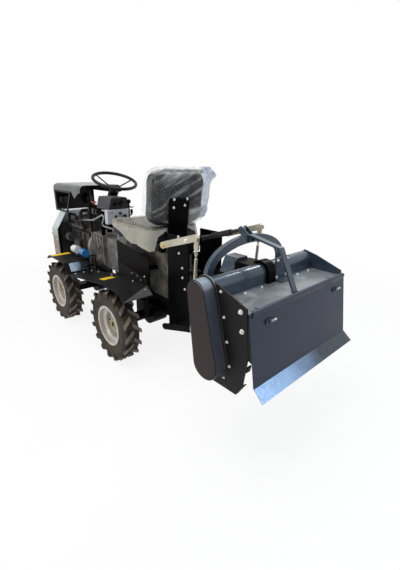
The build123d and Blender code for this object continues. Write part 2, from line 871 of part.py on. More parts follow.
def make_cylinder_head():
    """Head with its rocker cover and, along its left side, the inlet manifold with two necks."""
    half = HEAD_W / 2
    top = BLOCK_Z1 + HEAD_H
    head = block(ENGINE_X0, ENGINE_X1, -half, half, BLOCK_Z1, top)
    cover = block(
        ENGINE_X0 + COVER_INSET,
        ENGINE_X1 - COVER_INSET,
        COVER_INSET - half,
        half - COVER_INSET,
        top,
        top + COVER_H,
    )
    head += chamfer(cover.edges().group_by(Axis.Z)[-1], COVER_BEVEL)
    pipe_z = BLOCK_Z1 + HEAD_H / 2
    for x in CYLINDER_X:
        head += rod((x, half, pipe_z), (x, MANIFOLD_Y, pipe_z), RUNNER_R)
    first = CYLINDER_X[0] - MANIFOLD_R * 2
    last = CYLINDER_X[-1] + MANIFOLD_R
    head += rod((first, MANIFOLD_Y, pipe_z), (last, MANIFOLD_Y, pipe_z), MANIFOLD_R)
    for x, radius in ((INTAKE_NECK_X, MANIFOLD_R), (CONDUIT_NECK_X, CONDUIT_R + RIB_T)):
        head += rod((x, MANIFOLD_Y, pipe_z), (x, MANIFOLD_Y, NECK_Z), radius)
    return head


def make_timing_cover():
    cover = block(
        ENGINE_X1, ENGINE_X1 + TIMING_T, -HEAD_W / 2, HEAD_W / 2, BLOCK_Z0, BLOCK_Z1
    )
    crank_z = BLOCK_Z0 + PULLEY_R[0] + RAIL_WALL
    fan_z = BLOCK_Z1 - PULLEY_R[1] - RAIL_WALL
    start = ENGINE_X1 + TIMING_T
    cover += rod((start, 0, crank_z), (start + PULLEY_T, 0, crank_z), PULLEY_R[0])
    cover += rod((start, 0, fan_z), (start + PULLEY_T, 0, fan_z), PULLEY_R[1])
    return cover


def make_fan():
    start = ENGINE_X1 + TIMING_T + PULLEY_T
    fan_z = BLOCK_Z1 - PULLEY_R[1] - RAIL_WALL
    fan = rod((start, 0, fan_z), (start + FAN_HUB_L, 0, fan_z), FAN_HUB_R)
    blade = Rot(0, 0, BLADE_PITCH) * block(0, BLADE_T, -BLADE_W / 2, BLADE_W / 2, 0, FAN_R)
    for turn in range(FAN_BLADES):
        angle = 360 / FAN_BLADES * turn
        fan += Pos(start + FAN_HUB_L / 2, 0, fan_z) * Rot(angle, 0, 0) * blade
    return fan


def make_hose(route, radius, bend):
    """Hose along straight runs with round bends between the points of its route."""
    path = FilletPolyline(*route, radius=bend)
    start = Vector(*route[0])
    mouth = Plane(origin=start, z_dir=Vector(*route[1]) - start) * Circle(radius)
    return sweep(mouth, path=path)


def make_hoses():
    """Water hose to the radiator, air hose to the manifold, and a thin conduit to the gearbox."""
    head_z = BLOCK_Z1 + HEAD_H
    radiator_x = RADIATOR_X0 + RADIATOR_T / 2
    water = [
        (WATER_HOSE_X, WATER_HOSE_Y, head_z),
        (WATER_HOSE_X, WATER_HOSE_Y, WATER_HOSE_Z),
        (radiator_x, WATER_HOSE_Y, WATER_HOSE_Z),
        (radiator_x, WATER_HOSE_Y, RADIATOR_Z1),
    ]
    filter_x = FILTER_X0 + FILTER_L
    air = [
        (filter_x, AIR_HOSE_Y, FILTER_Z),
        (INTAKE_NECK_X, AIR_HOSE_Y, FILTER_Z),
        (INTAKE_NECK_X, MANIFOLD_Y, FILTER_Z),
        (INTAKE_NECK_X, MANIFOLD_Y, NECK_Z),
    ]
    conduit = [
        (CONDUIT_NECK_X, MANIFOLD_Y, NECK_Z),
        (CONDUIT_NECK_X, MANIFOLD_Y, CONDUIT_Z),
        *CONDUIT_LOOP,
        (CONDUIT_LOOP[-1][0], CONDUIT_LOOP[-1][1], GEARBOX_Z1),
    ]
    return Compound(
        children=[
            make_hose(water, WATER_HOSE_R, WATER_HOSE_R * 2),
            make_hose(air, AIR_HOSE_R, AIR_HOSE_R * 2),
            make_hose(conduit, CONDUIT_R, CONDUIT_BEND),
        ]
    )


keep("engine_block", make_engine_block())
keep("cylinder_head", make_cylinder_head())
keep("cooling_fan", make_timing_cover() + make_fan())
keep("hoses", make_hoses())


# Air filter on a saddle over the gearbox, exhaust on the right
def make_air_filter():
    body = rod((FILTER_X0, FILTER_Y, FILTER_Z), (FILTER_X0 + FILTER_L, FILTER_Y, FILTER_Z), FILTER_R)
    head_z = BLOCK_Z1 + HEAD_H + COVER_H
    lid = rod(
        (FILTER_X0 - FILTER_LID_T, FILTER_Y, FILTER_Z),
        (FILTER_X0, FILTER_Y, FILTER_Z),
        FILTER_R + RAIL_WALL,
    )
    saddle = block(
        ENGINE_X0 + COVER_INSET,
        FILTER_X0 + FILTER_L,
        0,
        FILTER_Y,
        head_z,
        FILTER_Z,
    )
    return body + lid + saddle


def make_exhaust():
    z = BLOCK_Z1 + MUFFLER_R + MUFFLER_RISE
    x0 = ENGINE_X0 + COVER_INSET
    middle_x = (ENGINE_X0 + ENGINE_X1) / 2
    can = rod((x0, MUFFLER_Y, z), (x0 + MUFFLER_L, MUFFLER_Y, z), MUFFLER_R)
    head_side = -HEAD_W / 2
    pipe_z = BLOCK_Z1 + HEAD_H / 2
    can += rod((middle_x, MUFFLER_Y, pipe_z), (middle_x, head_side, pipe_z), PIPE_R)
    tail_low = RAIL_Z1
    tail_x = x0 + PIPE_R * 2
    can += rod((tail_x, MUFFLER_Y, tail_low), (tail_x, MUFFLER_Y, z), PIPE_R)
    return can


def make_fuel_filters():
    solids = []
    for x in FUEL_FILTER_X:
        low = FUEL_FILTER_Z - FUEL_FILTER_L / 2
        body = rod(
            (x, FUEL_FILTER_Y, FUEL_FILTER_Z),
            (x + FUEL_FILTER_L, FUEL_FILTER_Y, FUEL_FILTER_Z),
            FUEL_FILTER_R,
        )
        strap = block(
            x + FUEL_FILTER_R, x + FUEL_FILTER_R * 2, RAIL_Y_OUT, FUEL_FILTER_Y, low, low + RAIL_WALL
        )
        strap += block(
            x + FUEL_FILTER_R,
            x + FUEL_FILTER_R * 2,
            FUEL_FILTER_Y - RAIL_WALL,
            FUEL_FILTER_Y,
            low,
            FUEL_FILTER_Z,
        )
        strap += block(
            x + FUEL_FILTER_R,
            x + FUEL_FILTER_R * 2,
            RAIL_Y_OUT,
            RAIL_Y_OUT + RAIL_WALL,
            RAIL_Z0,
            low + RAIL_WALL,
        )
        solids.append(body + strap)
    return Compound(children=solids)


keep("air_filter", make_air_filter())
keep("exhaust", make_exhaust())
keep("fuel_filters", make_fuel_filters())


# Gear train from the flywheel to the rear shaft
def chamfered_box(half, low, high, taper):
    """Casting section of Y and Z points with its two lower corners cut back."""
    return [
        (-half + taper, low),
        (-half, low + taper),
        (-half, high),
        (half, high),
        (half, low + taper),
        (half - taper, low),
    ]


def make_clutch_housing():
    """Bell housing: flywheel ring, body with flanges at both ends, ribs and round bosses."""
    half = BELL_W / 2
    x1 = ENGINE_X0 - FLYWHEEL_T
    middle = (BLOCK_Z0 + BLOCK_Z1) / 2
    housing = rod((x1, 0, middle), (ENGINE_X0, 0, middle), FLYWHEEL_R)
    inner = half - BELL_FLANGE_H
    low = BELL_Z0 + BELL_FLANGE_H
    housing += front_profile(chamfered_box(inner, low, BELL_Z1, BELL_TAPER), BELL_X0, x1)
    flange = chamfered_box(half, BELL_Z0, BELL_Z1, BELL_TAPER)
    housing += front_profile(flange, BELL_X0, BELL_X0 + BELL_FLANGE_T)
    housing += front_profile(flange, x1 - BELL_FLANGE_T, x1)
    for x in BELL_RIB_X:
        housing += block(
            x, x + RIB_T, -half, half, BELL_Z0 + BELL_TAPER + BELL_FLANGE_H, BELL_Z1 - BELL_FLANGE_H
        )
    for z in BELL_BOSS_Z:
        x = BELL_RIB_X[1] + RIB_T / 2
        housing += rod((x, -half, z), (x, half, z), BELL_BOSS_R)
    return housing


def make_gearbox():
    """Middle casting with a bolted cover on each side and the tower of the gear lever."""
    half = GEARBOX_W / 2
    box = front_profile(
        chamfered_box(half, BELL_Z0, GEARBOX_Z1, GEARBOX_TAPER), GEARBOX_X0, BELL_X0
    )
    x0, x1 = GEAR_COVER_X
    low, high = GEAR_COVER_Z
    box += block(x0, x1, -half - RIB_T, half + RIB_T, low, high)
    middle = (low + high) / 2
    lug_half = half + RIB_T / 2
    box += block(
        x0 - GEAR_COVER_LUG, x1 + GEAR_COVER_LUG, -lug_half, lug_half, middle - RIB_T, middle + RIB_T
    )
    tower_x0, tower_x1 = SHIFT_TOWER_X
    tower = block(
        tower_x0, tower_x1, -half / 2, half / 2, GEARBOX_Z1, GEARBOX_Z1 + SHIFT_TOWER_H
    )
    return box + chamfer(tower.edges().group_by(Axis.Z)[-1], SHIFT_TOWER_BEVEL)


def make_rear_gearbox():
    """Rear casting between the rails, with ribs above them."""
    half = REAR_BOX_W / 2
    section = chamfered_box(half, REAR_BOX_Z0, REAR_BOX_Z1, RIB_H)
    box = front_profile(section, REAR_BOX_X0, REAR_BOX_X1)
    pitch = (REAR_BOX_X1 - REAR_BOX_X0) / REAR_RIB_COUNT
    for index in range(REAR_RIB_COUNT):
        x = REAR_BOX_X0 + pitch * (index + 0.5)
        box += block(x, x + RIB_T, -half - RIB_H, half + RIB_H, RAIL_Z1 + RIB_H, REAR_RIB_Z1)
    return box


def make_fork(place, back):
    """Fork round a pivot; back is 1 or -1, the way along X to its own shaft."""
    inner = SHAFT_EYE_W / 2 + SIDE_GAP
    outer = inner + FORK_T
    root = (place[0] + back * FORK_REACH, place[1])
    fork = cross_bar(place, SHAFT_PIN_R, -outer, outer)
    for y0 in (-outer, inner):
        fork += bar_between(place, root, SHAFT_EYE_R * 2, y0, y0 + FORK_T)
    web_end = root[0] + back * FORK_T
    fork += rod((root[0], 0, place[1]), (web_end, 0, place[1]), outer)
    return fork


def make_shaft_outlet():
    x1 = REAR_BOX_X0
    x0 = x1 - PTO_PLATE_T
    z = SHAFT_PIVOT[1]
    outlet = rod((x0, 0, z), (x1, 0, z), OUTLET_R)
    outlet += rod((SHAFT_PIVOT[0] + FORK_REACH, 0, z), (x0, 0, z), PTO_STUB_R)
    return outlet + make_fork(SHAFT_PIVOT, 1)


keep("clutch_housing", make_clutch_housing())
keep("gearbox", make_gearbox())
keep("rear_gearbox", make_rear_gearbox() + make_shaft_outlet())


# Foot platforms: one bent sheet a side, on brackets from the rails
UNDERSIDE = [
    (STEP_LIP_X, STEP_LIP_Z),
    (STEP_NOSE_X, STEP_TOP_Z),
    (STEP_RISER_X1, STEP_TOP_Z),
    (STEP_RISER_X0, STEP_FLOOR_Z),
    (STEP_REAR_X1, STEP_TOP_Z),
    (STEP_REAR_X0, STEP_TOP_Z),
    (STEP_TAIL_X, STEP_TAIL_Z),
]


def plate_foot(x):
    """Height of the side plate's lower edge at x."""
    share = (x - SIDE_PLATE_X0) / (SIDE_PLATE_X1 - SIDE_PLATE_X0)
    return SIDE_PLATE_Z0 + SIDE_PLATE_RISE * share


def make_platform():
    topside = [(x, z + STEP_T) for x, z in UNDERSIDE]
    sheet = side_profile(UNDERSIDE + topside[::-1], STEP_Y_IN, STEP_Y_OUT)
    slope = (STEP_TOP_Z - STEP_FLOOR_Z) / (STEP_RISER_X0 - STEP_REAR_X1)
    front_z = STEP_TOP_Z - slope * (SIDE_PLATE_X1 - STEP_REAR_X1)
    rear_x = STEP_REAR_X0
    upstand = side_profile(
        [
            (SIDE_PLATE_X1, front_z),
            (SIDE_PLATE_X1, plate_foot(SIDE_PLATE_X1) + SIDE_BAR_W),
            (rear_x, plate_foot(rear_x) + SIDE_BAR_W),
            (rear_x, STEP_TOP_Z),
            (STEP_REAR_X1, STEP_TOP_Z),
        ],
        STEP_Y_IN,
        STEP_Y_IN + STEP_T,
    )
    sheet += upstand
    return sheet


def make_platform_brackets():
    solids = []
    high = STEP_TOP_Z + STEP_BRACKET_W
    above = UNDERSIDE[1:-1] + [(STEP_REAR_X0, high), (STEP_NOSE_X, high)]
    for x in STEP_BRACKET_X:
        slope = (STEP_TOP_Z - STEP_FLOOR_Z) / (STEP_RISER_X0 - STEP_REAR_X1)
        front_edge = max(x + STEP_BRACKET_W / 2, STEP_REAR_X1)
        under = STEP_TOP_Z - slope * (front_edge - STEP_REAR_X1)
        x0 = x - STEP_BRACKET_W / 2
        x1 = x + STEP_BRACKET_W / 2
        y1 = STEP_Y_OUT - STEP_BRACKET_W
        arm = block(x0, x1, RAIL_Y_OUT, y1, under - STEP_BRACKET_T, high)
        arm -= side_profile(above, RAIL_Y_OUT - CUT_OVERRUN, y1 + CUT_OVERRUN)
        arm += block(
            x0, x1, RAIL_Y_OUT, RAIL_Y_OUT + STEP_BRACKET_T, RAIL_Z0, under - STEP_BRACKET_T / 2
        )
        solids.append(arm)
    return solids


left_platform = make_platform()
keep("platform_left", left_platform)
keep("platform_right", mirror(left_platform, about=Plane.XZ))
bracket_arms = make_platform_brackets()
bracket_arms += [mirror(arm, about=Plane.XZ) for arm in bracket_arms]
keep("platform_brackets", Compound(children=bracket_arms))


# Side plates: parallelograms beside the gearbox, each with a bar along its foot
def make_side_plate():
    y0 = SIDE_PLATE_Y
    y1 = y0 + SIDE_PLATE_T
    x0 = SIDE_PLATE_X0
    x1 = SIDE_PLATE_X1
    points = [
        (x1, plate_foot(x1) - SIDE_PLATE_LAP),
        (x1, plate_foot(x1) + SIDE_PLATE_H),
        (x0, plate_foot(x0) + SIDE_PLATE_H),
        (x0, plate_foot(x0) - SIDE_PLATE_LAP),
    ]
    plate = side_profile(points, y0, y1)
    spacer_z = plate_foot(x1) + SIDE_BAR_W
    for x in (x0 + SIDE_BAR_W, x1 - SIDE_BAR_W * 2 - SIDE_BAR_W):
        plate += block(x, x + SIDE_BAR_W * 2, REAR_BOX_W / 2, y0, spacer_z, spacer_z + SIDE_BAR_W)
    return plate


keep("side_plates", both_sides(make_side_plate()))


# Radiator surround: a chamfered sheet arch, open to the rear
def make_surround():
    def outline(inset):
        half = SURROUND_W / 2 - inset
        top_half = SURROUND_TOP_W / 2 - inset / 2
        shoulder = SURROUND_SHOULDER_Z - inset / 2
        low = SURROUND_Z0 + inset
        high = SURROUND_TOP_Z - inset
        return [
            (-half, low),
            (-half, shoulder),
            (-top_half, high),
            (top_half, high),
            (half, shoulder),
            (half, low),
        ]

    shell = front_profile(outline(0), SURROUND_X0, SURROUND_X1)
    shell -= front_profile(outline(SURROUND_T), SURROUND_X0 - CUT_OVERRUN, SURROUND_X1 - SURROUND_T)
    for z in NOSE_PIN_Z:
        for side in (1, -1):
            start = (SURROUND_X1, side * NOSE_PIN_Y, z)
            end = (SURROUND_X1 + NOSE_PIN_L, side * NOSE_PIN_Y, z)
            shell += rod(start, end, NOSE_PIN_R)
    window_half = SURROUND_TOP_W / 2
    shell -= block(
        SURROUND_X1 - SURROUND_T - CUT_OVERRUN,
        SURROUND_X1 + CUT_OVERRUN,
        -window_half,
        window_half,
        SURROUND_Z0 + SURROUND_WINDOW_LOW,
        SURROUND_SHOULDER_Z,
    )
    hole = (SURROUND_HOLE_X, SURROUND_HOLE_Z)
    shell -= cross_bar(hole, SURROUND_HOLE_R, 0, SURROUND_W)
    hinge = (HOOD_HINGE_X, HOOD_Z0 + HOOD_HINGE_R)
    barrel_end = SURROUND_TOP_W / 2
    for side in (1, -1):
        near = side * (barrel_end + SIDE_GAP)
        far = side * (barrel_end + SIDE_GAP + HINGE_EAR_W)
        shell += bar_between(
            hinge,
            (HOOD_HINGE_X, SURROUND_TOP_Z - SURROUND_T / 2),
            HOOD_HINGE_R * 2,
            min(near, far),
            max(near, far),
        )
        inner = side * (barrel_end - HINGE_EAR_W + SIDE_GAP)
        shell += cross_bar(hinge, HINGE_PIN_R, min(inner, far), max(inner, far))
    return shell


def make_radiator():
    low = SURROUND_Z0 + SURROUND_T
    return block(
        RADIATOR_X0, RADIATOR_X0 + RADIATOR_T, -RADIATOR_W / 2, RADIATOR_W / 2, low, RADIATOR_Z1
    )


def make_nose_floor():
    return block(
        SURROUND_X0 - NOSE_FLOOR_LAP, SURROUND_X1, -RAIL_Y_OUT, RAIL_Y_OUT, RAIL_Z1, SURROUND_Z0
    )


keep("radiator_surround", make_surround())
keep("radiator", make_radiator())
keep("frame_rails", make_frame() + make_nose_floor())


# Hood: a thin pressed shell over an open nose frame, tilting forward on its hinge
def make_hood():
    """Pressed hood: rounded shoulders, open at the rear, each skirt ending in a pointed lobe."""
    low = HOOD_Z1 - HOOD_LOBE[1]

    def pressing(inset, back):
        half = HOOD_HALF_W - inset
        mass = block(HOOD_X0 - back, HOOD_X1 - inset, -half, half, low - back, HOOD_Z1 - inset)
        top = mass.faces().sort_by(Axis.Z)[-1]
        edges = [edge for edge in top.edges() if edge.center().X > HOOD_X0]
        return fillet(edges, HOOD_SHOULDER_R - inset)

    shell = pressing(0, 0) - pressing(HOOD_T, CUT_OVERRUN)
    room = HOOD_HALF_W + CUT_OVERRUN
    lobe_x = HOOD_X0 + HOOD_LOBE[0]
    under = [
        (HOOD_X0 - CUT_OVERRUN, low - CUT_OVERRUN),
        (HOOD_X0 - CUT_OVERRUN, HOOD_SKIRT_Z),
        *[
            (HOOD_X0 + HOOD_LOBE[0] * along, HOOD_SKIRT_Z - HOOD_LOBE[1] * down)
            for along, down in lobe_shares
        ],
        (lobe_x, low),
        (HOOD_X0 + HOOD_LOBE_FRONT, HOOD_SKIRT_Z),
        (HOOD_X1 + CUT_OVERRUN, HOOD_SKIRT_Z),
        (HOOD_X1 + CUT_OVERRUN, low - CUT_OVERRUN),
    ]
    return shell - side_profile(under, -room, room)


def make_grille():
    """Nose fascia: an open frame on each side, and a front panel with bars and two lamps."""
    half = HOOD_HALF_W
    low = HOOD_Z0
    high = HOOD_SKIRT_Z
    outline = [
        (HOOD_X1, low),
        (HOOD_X1, high),
        (FASCIA_TOP_X, high),
        (FASCIA_FOOT_X - FASCIA_BAR, low + FASCIA_FOOT_RISE),
        (FASCIA_FOOT_X, low),
    ]
    window = [
        (HOOD_X1 - FASCIA_BAR * 2, low + FASCIA_BAR),
        (HOOD_X1 - FASCIA_BAR * 2, high - FASCIA_BAR),
        (FASCIA_TOP_X + FASCIA_BAR * 2, high - FASCIA_BAR),
        (FASCIA_FOOT_X + FASCIA_BAR / 2, low + FASCIA_BAR),
    ]
    side = side_profile(outline, half - FASCIA_T, half)
    side -= side_profile(window, half - FASCIA_T - CUT_OVERRUN, half + CUT_OVERRUN)
    x0 = HOOD_X1 - FASCIA_T
    panel = block(x0, HOOD_X1, -half, half, low, high)
    bar_half = half - FASCIA_BAR
    bar_h = (high - low) / (GRILLE_BARS * 2 + 1)
    for index in range(GRILLE_BARS):
        z = low + bar_h * (2 * index + 1)
        panel -= block(x0 - CUT_OVERRUN, HOOD_X1 + CUT_OVERRUN, -bar_half, bar_half, z, z + bar_h)
    middle_z = (low + high) / 2
    for place in (LAMP_Y, -LAMP_Y):
        panel += rod((HOOD_X1 - LAMP_T, place, middle_z), (HOOD_X1, place, middle_z), LAMP_R)
        panel -= rod(
            (HOOD_X1 - LAMP_RING, place, middle_z),
            (HOOD_X1 + CUT_OVERRUN, place, middle_z),
            LAMP_R - LAMP_RING,
        )
    hinge = (HOOD_HINGE_X, low + HOOD_HINGE_R)
    reach = SURROUND_TOP_W / 2
    panel += cross_bar(hinge, HOOD_HINGE_R, -reach, reach)
    for sign in (1, -1):
        inner = sign * (reach - HINGE_EAR_W)
        near = sign * reach
        far = sign * (reach + SIDE_GAP * 2 + HINGE_EAR_W)
        panel -= block(
            x0 - CUT_OVERRUN,
            HOOD_X1 + CUT_OVERRUN,
            min(near, far),
            max(near, far),
            low - CUT_OVERRUN,
            low + HOOD_HINGE_R * 2 + HUB_RUN,
        )
        panel -= cross_bar(hinge, HINGE_PIN_R + PIN_GAP, min(inner, near), max(inner, near))
    return side + mirror(side, about=Plane.XZ) + panel


def make_hood_post():
    x = HOOD_X0 + HOOD_POST_R
    y = BELL_W / 2 - HOOD_POST_R
    high = HOOD_Z1 - HOOD_T - PIN_GAP
    post = block(x - HOOD_POST_R, x + HOOD_POST_R, -y, y, high - HOOD_POST_R, high)
    post += rod((x, y, BELL_Z1), (x, y, high), HOOD_POST_R)
    post += rod((x, -y, BELL_Z1), (x, -y, high), HOOD_POST_R)
    return post


keep("hood_shell", make_hood())
keep("hood_grille", make_grille())
keep("hood_support", make_hood_post())

# Steering column, wheel and dashboard
lean = math.radians(STEER_TILT)
AXIS = Vector(-math.sin(lean), 0, math.cos(lean))
WHEEL_CENTRE = Vector(STEER_WHEEL_X, 0, STEER_WHEEL_Z)
HUB_TOP = WHEEL_CENTRE - AXIS * STEER_DISH
HUB_LOW = HUB_TOP - AXIS * STEER_HUB_L
COLUMN_TOP = HUB_LOW - AXIS * SIDE_GAP
COLUMN_LOW = COLUMN_TOP - AXIS * ((COLUMN_TOP.Z - BELL_Z1) / AXIS.Z + COLUMN_R)


def make_steering_wheel():
    plane = Plane(origin=WHEEL_CENTRE, x_dir=Vector(AXIS.Z, 0, -AXIS.X), z_dir=AXIS)
    section = Pos(STEER_WHEEL_R, 0) * RegularPolygon(STEER_RIM_R, STEER_RIM_SIDES)
    wheel = plane * revolve(Plane.XZ * section, axis=Axis.Z)
    wheel += rod(tuple(HUB_LOW), tuple(HUB_TOP), STEER_HUB_R)
    middle = (HUB_TOP + HUB_LOW) / 2
    for angle in SPOKE_ANGLES:
        turn = math.radians(angle)
        across = plane.x_dir * math.cos(turn) + plane.y_dir * math.sin(turn)
        tip = WHEEL_CENTRE + across * STEER_WHEEL_R
        wheel += rod(tuple(middle + across * (STEER_HUB_R / 2)), tuple(tip), SPOKE_R)
    return wheel


def make_column():
    """Column tube under a boot that flares up to the wheel's hub."""
    column = rod(tuple(COLUMN_LOW), tuple(COLUMN_TOP), COLUMN_R)
    foot = COLUMN_TOP - AXIS * BOOT_L
    boot = Plane(origin=foot, z_dir=AXIS) * Cone(
        COLUMN_R, BOOT_R, BOOT_L, align=(Align.CENTER, Align.CENTER, Align.MIN)
    )
    housing_top = block(BELL_X0, ENGINE_X0, -BELL_W / 2, BELL_W / 2, BELL_Z0, BELL_Z1)
    return column + boot - housing_top


def make_dashboard(column):
    """Wedge of a dashboard round the column, its face leaning back at the driver."""
    half = DASH_W / 2
    body = side_profile(
        [
            (DASH_X0 + DASH_H, DASH_Z0),
            (DASH_X0 + DASH_LEAN, DASH_Z0 + DASH_H),
            (DASH_X1, DASH_Z0 + DASH_H),
            (DASH_X1 + DASH_LEAN, DASH_Z0),
        ],
        -half,
        half,
    )
    return body - column


def make_dash_stand():
    half = DASH_W / 2
    x0 = BELL_X0 + RAIL_WALL
    stand = None
    for side in (1, -1):
        y = side * (BELL_W / 2 - STEP_BRACKET_W / 2)
        leg = block(
            x0, x0 + RAIL_WALL, y - STEP_BRACKET_W / 2, y + STEP_BRACKET_W / 2, BELL_Z1, DASH_Z0
        )
        stand = leg if stand is None else stand + leg
    stand += block(
        x0 - DASH_SHELF_L, x0 + RAIL_WALL, -half, half, DASH_Z0 - RAIL_WALL, DASH_Z0
    )
    bore = rod(tuple(COLUMN_LOW), tuple(COLUMN_TOP), COLUMN_R)
    return stand - bore


def make_control_box():
    x0 = CONTROL_BOX_X
    box = block(
        x0,
        x0 + CONTROL_BOX_T,
        CONTROL_BOX_Y0,
        CONTROL_BOX_Y1,
        CONTROL_BOX_Z0,
        CONTROL_BOX_Z0 + CONTROL_BOX_H,
    )
    neck = block(
        x0 + CONTROL_BOX_T,
        BELL_X0 + RAIL_WALL - DASH_SHELF_L + RAIL_WALL,
        CONTROL_BOX_Y0,
        CONTROL_BOX_Y1,
        DASH_Z0 - RAIL_WALL * 2,
        DASH_Z0 - RAIL_WALL,
    )
    return box + neck


def make_levers():
    tip = (LEVER_X, LEVER_Y, LEVER_TOP_Z)
    foot = (LEVER_X, LEVER_Y, GEARBOX_Z1 + SHIFT_TOWER_H)
    gear_lever = rod(foot, tip, LEVER_R) + Pos(*tip) * Sphere(KNOB_R)
    x = CONTROL_BOX_X + CONTROL_BOX_T / 2
    z = CONTROL_BOX_Z0 + CONTROL_BOX_H / 2
    throttle = rod((x, THROTTLE_Y, z), (x, CONTROL_BOX_Y0, z), LEVER_R)
    throttle += rod((x, THROTTLE_Y, z), (x, THROTTLE_Y, THROTTLE_Z), LEVER_R)
    throttle += rod((x, THROTTLE_Y, THROTTLE_Z - KNOB_R * 2), (x, THROTTLE_Y, THROTTLE_Z), LEVER_R * 2)
    return [gear_lever, throttle]


def make_pedals():
    pedals = []
    slope = (STEP_TOP_Z - STEP_FLOOR_Z) / (STEP_RISER_X0 - STEP_REAR_X1)
    foot_x = PEDAL_X - LEVER_R
    foot_z = STEP_FLOOR_Z + (STEP_RISER_X0 - foot_x) * slope + STEP_T + PIN_GAP
    for side in (1, -1):
        pad = Pos(PEDAL_X, side * PEDAL_Y, PEDAL_Z) * Rot(0, PEDAL_TILT, 0) * Box(PEDAL_L, PEDAL_W, PEDAL_T)
        stem = rod((PEDAL_X, side * PEDAL_Y, foot_z), (PEDAL_X, side * PEDAL_Y, PEDAL_Z), LEVER_R)
        pedals.append(pad + stem)
    return pedals


keep("steering_wheel", make_steering_wheel())
column_form = make_column()
keep("dashboard", make_dashboard(column_form))
keep("steering_column", column_form + make_dash_stand())
keep("control_box", make_control_box())
keep("levers_and_pedals", Compound(children=make_levers() + make_pedals()))


# Seat on a flat base and legs
def make_seat_base():
    half = SEAT_W / 2 - SEAT_BASE_INSET
    base = block(
        SEAT_X0 + SEAT_BASE_INSET,
        SEAT_X1 - SEAT_BASE_INSET,
        -half,
        half,
        SEAT_Z0 - SEAT_BASE_T,
        SEAT_Z0,
    )
    for x in (SEAT_X0 + SEAT_BASE_INSET, SEAT_X1 - SEAT_BASE_INSET - SEAT_LEG_W):
        for side in (1, -1):
            y = side * (REAR_BOX_W / 2 - SEAT_LEG_W / 2)
            base += block(
                x,
                x + SEAT_LEG_W,
                y - SEAT_LEG_W / 2,
                y + SEAT_LEG_W / 2,
                REAR_BOX_Z1,
                SEAT_Z0 - SEAT_BASE_T,
            )
    return base


def make_cushion():
    cushion = block(SEAT_X0, SEAT_X1, -SEAT_W / 2, SEAT_W / 2, SEAT_Z0, SEAT_Z0 + SEAT_H)
    return fillet(cushion.edges().filter_by(Axis.Z), SEAT_H / 2)


def make_backrest():
    back = block(0, BACK_T, -BACK_W / 2, BACK_W / 2, 0, BACK_H)
    back = fillet(back.edges().filter_by(Axis.X), BACK_T)
    return Pos(BACK_X, 0, BACK_Z0) * Rot(0, -BACK_LEAN, 0) * back


def make_back_bracket():
    half = BRACKET_W / 2
    low_x = BACK_X - math.tan(math.radians(BACK_LEAN)) * (BRACKET_Z0 - BACK_Z0)
    high_x = BACK_X - math.tan(math.radians(BACK_LEAN)) * (BRACKET_Z0 + BRACKET_H - BACK_Z0)
    gap = PIN_GAP
    plate = side_profile(
        [
            (low_x - gap, BRACKET_Z0),
            (high_x - gap, BRACKET_Z0 + BRACKET_H),
            (high_x - gap - BRACKET_T, BRACKET_Z0 + BRACKET_H),
            (low_x - gap - BRACKET_T, BRACKET_Z0),
        ],
        -half,
        half,
    )
    x1 = low_x - gap
    x0 = x1 - BRACKET_T
    plate += block(x0, x1, -half, half, SEAT_Z0 - SEAT_BASE_T, BRACKET_Z0)
    plate += block(
        x0, SEAT_X0 + SEAT_BASE_INSET, -half, half, SEAT_Z0 - SEAT_BASE_T, SEAT_Z0 - BRACKET_T
    )
    return plate


keep("seat_cushion", make_cushion())
keep("seat_back", make_backrest())
keep("seat_frame", make_seat_base() + make_back_bracket())


# Rear posts: one channel a side, bored for the lift shaft and holding the lower pins
def make_post():
    y0 = POST_Y
    y1 = y0 + POST_T
    post = block(POST_X0, POST_X1, y0, y1, POST_Z0, POST_Z1)
    flange_in = RAIL_Y_IN - POST_FLANGE
    post += block(POST_X1 - POST_T, POST_X1, flange_in, y1, RAIL_Z1, REAR_BOX_Z1)
    post += block(POST_X1 - POST_T, POST_X1 + POST_FLANGE, RAIL_Y_OUT, y1, RAIL_Z0, RAIL_Z1)
    post -= cross_bar(LIFT_PIVOT, LIFT_SHAFT_R + PIN_GAP, 0, y1 + CUT_OVERRUN)
    return post


def make_posts():
    left = make_post()
    posts = left + mirror(left, about=Plane.XZ)
    out = LINK_Y + LINK_T
    posts += cross_bar(LOWER_PIVOT, LINK_PIN_R, -out, out)
    return posts


keep("rear_posts", make_posts())


def make_top_bracket():
    inner = TOP_EYE_W / 2 + SIDE_GAP
    outer = inner + TOP_EAR_T
    x1 = REAR_BOX_X0
    points = [
        (x1, SHAFT_PIVOT[1] + OUTLET_R + TOP_EAR_R),
        (x1, REAR_BOX_Z1 + TOP_BRACKET_RISE),
        (TOP_PIVOT[0], TOP_PIVOT[1] + TOP_EAR_R),
        (TOP_PIVOT[0] - TOP_EAR_R, TOP_PIVOT[1]),
        (TOP_PIVOT[0], TOP_PIVOT[1] - TOP_EAR_R),
    ]
    ear = side_profile(points, inner, outer)
    shaft_room = LIFT_SHAFT_R + HUB_RUN
    ear -= cross_bar(LIFT_PIVOT, shaft_room, 0, outer + CUT_OVERRUN)
    tie = block(x1 - TOP_EAR_T, x1, -outer, outer, SHAFT_PIVOT[1] + OUTLET_R + TOP_EAR_R, REAR_BOX_Z1)
    bracket = ear + mirror(ear, about=Plane.XZ) + tie
    bracket += cross_bar(TOP_PIVOT, LIFT_PIN_R, -outer, outer)
    return bracket


keep("top_link_bracket", make_top_bracket())


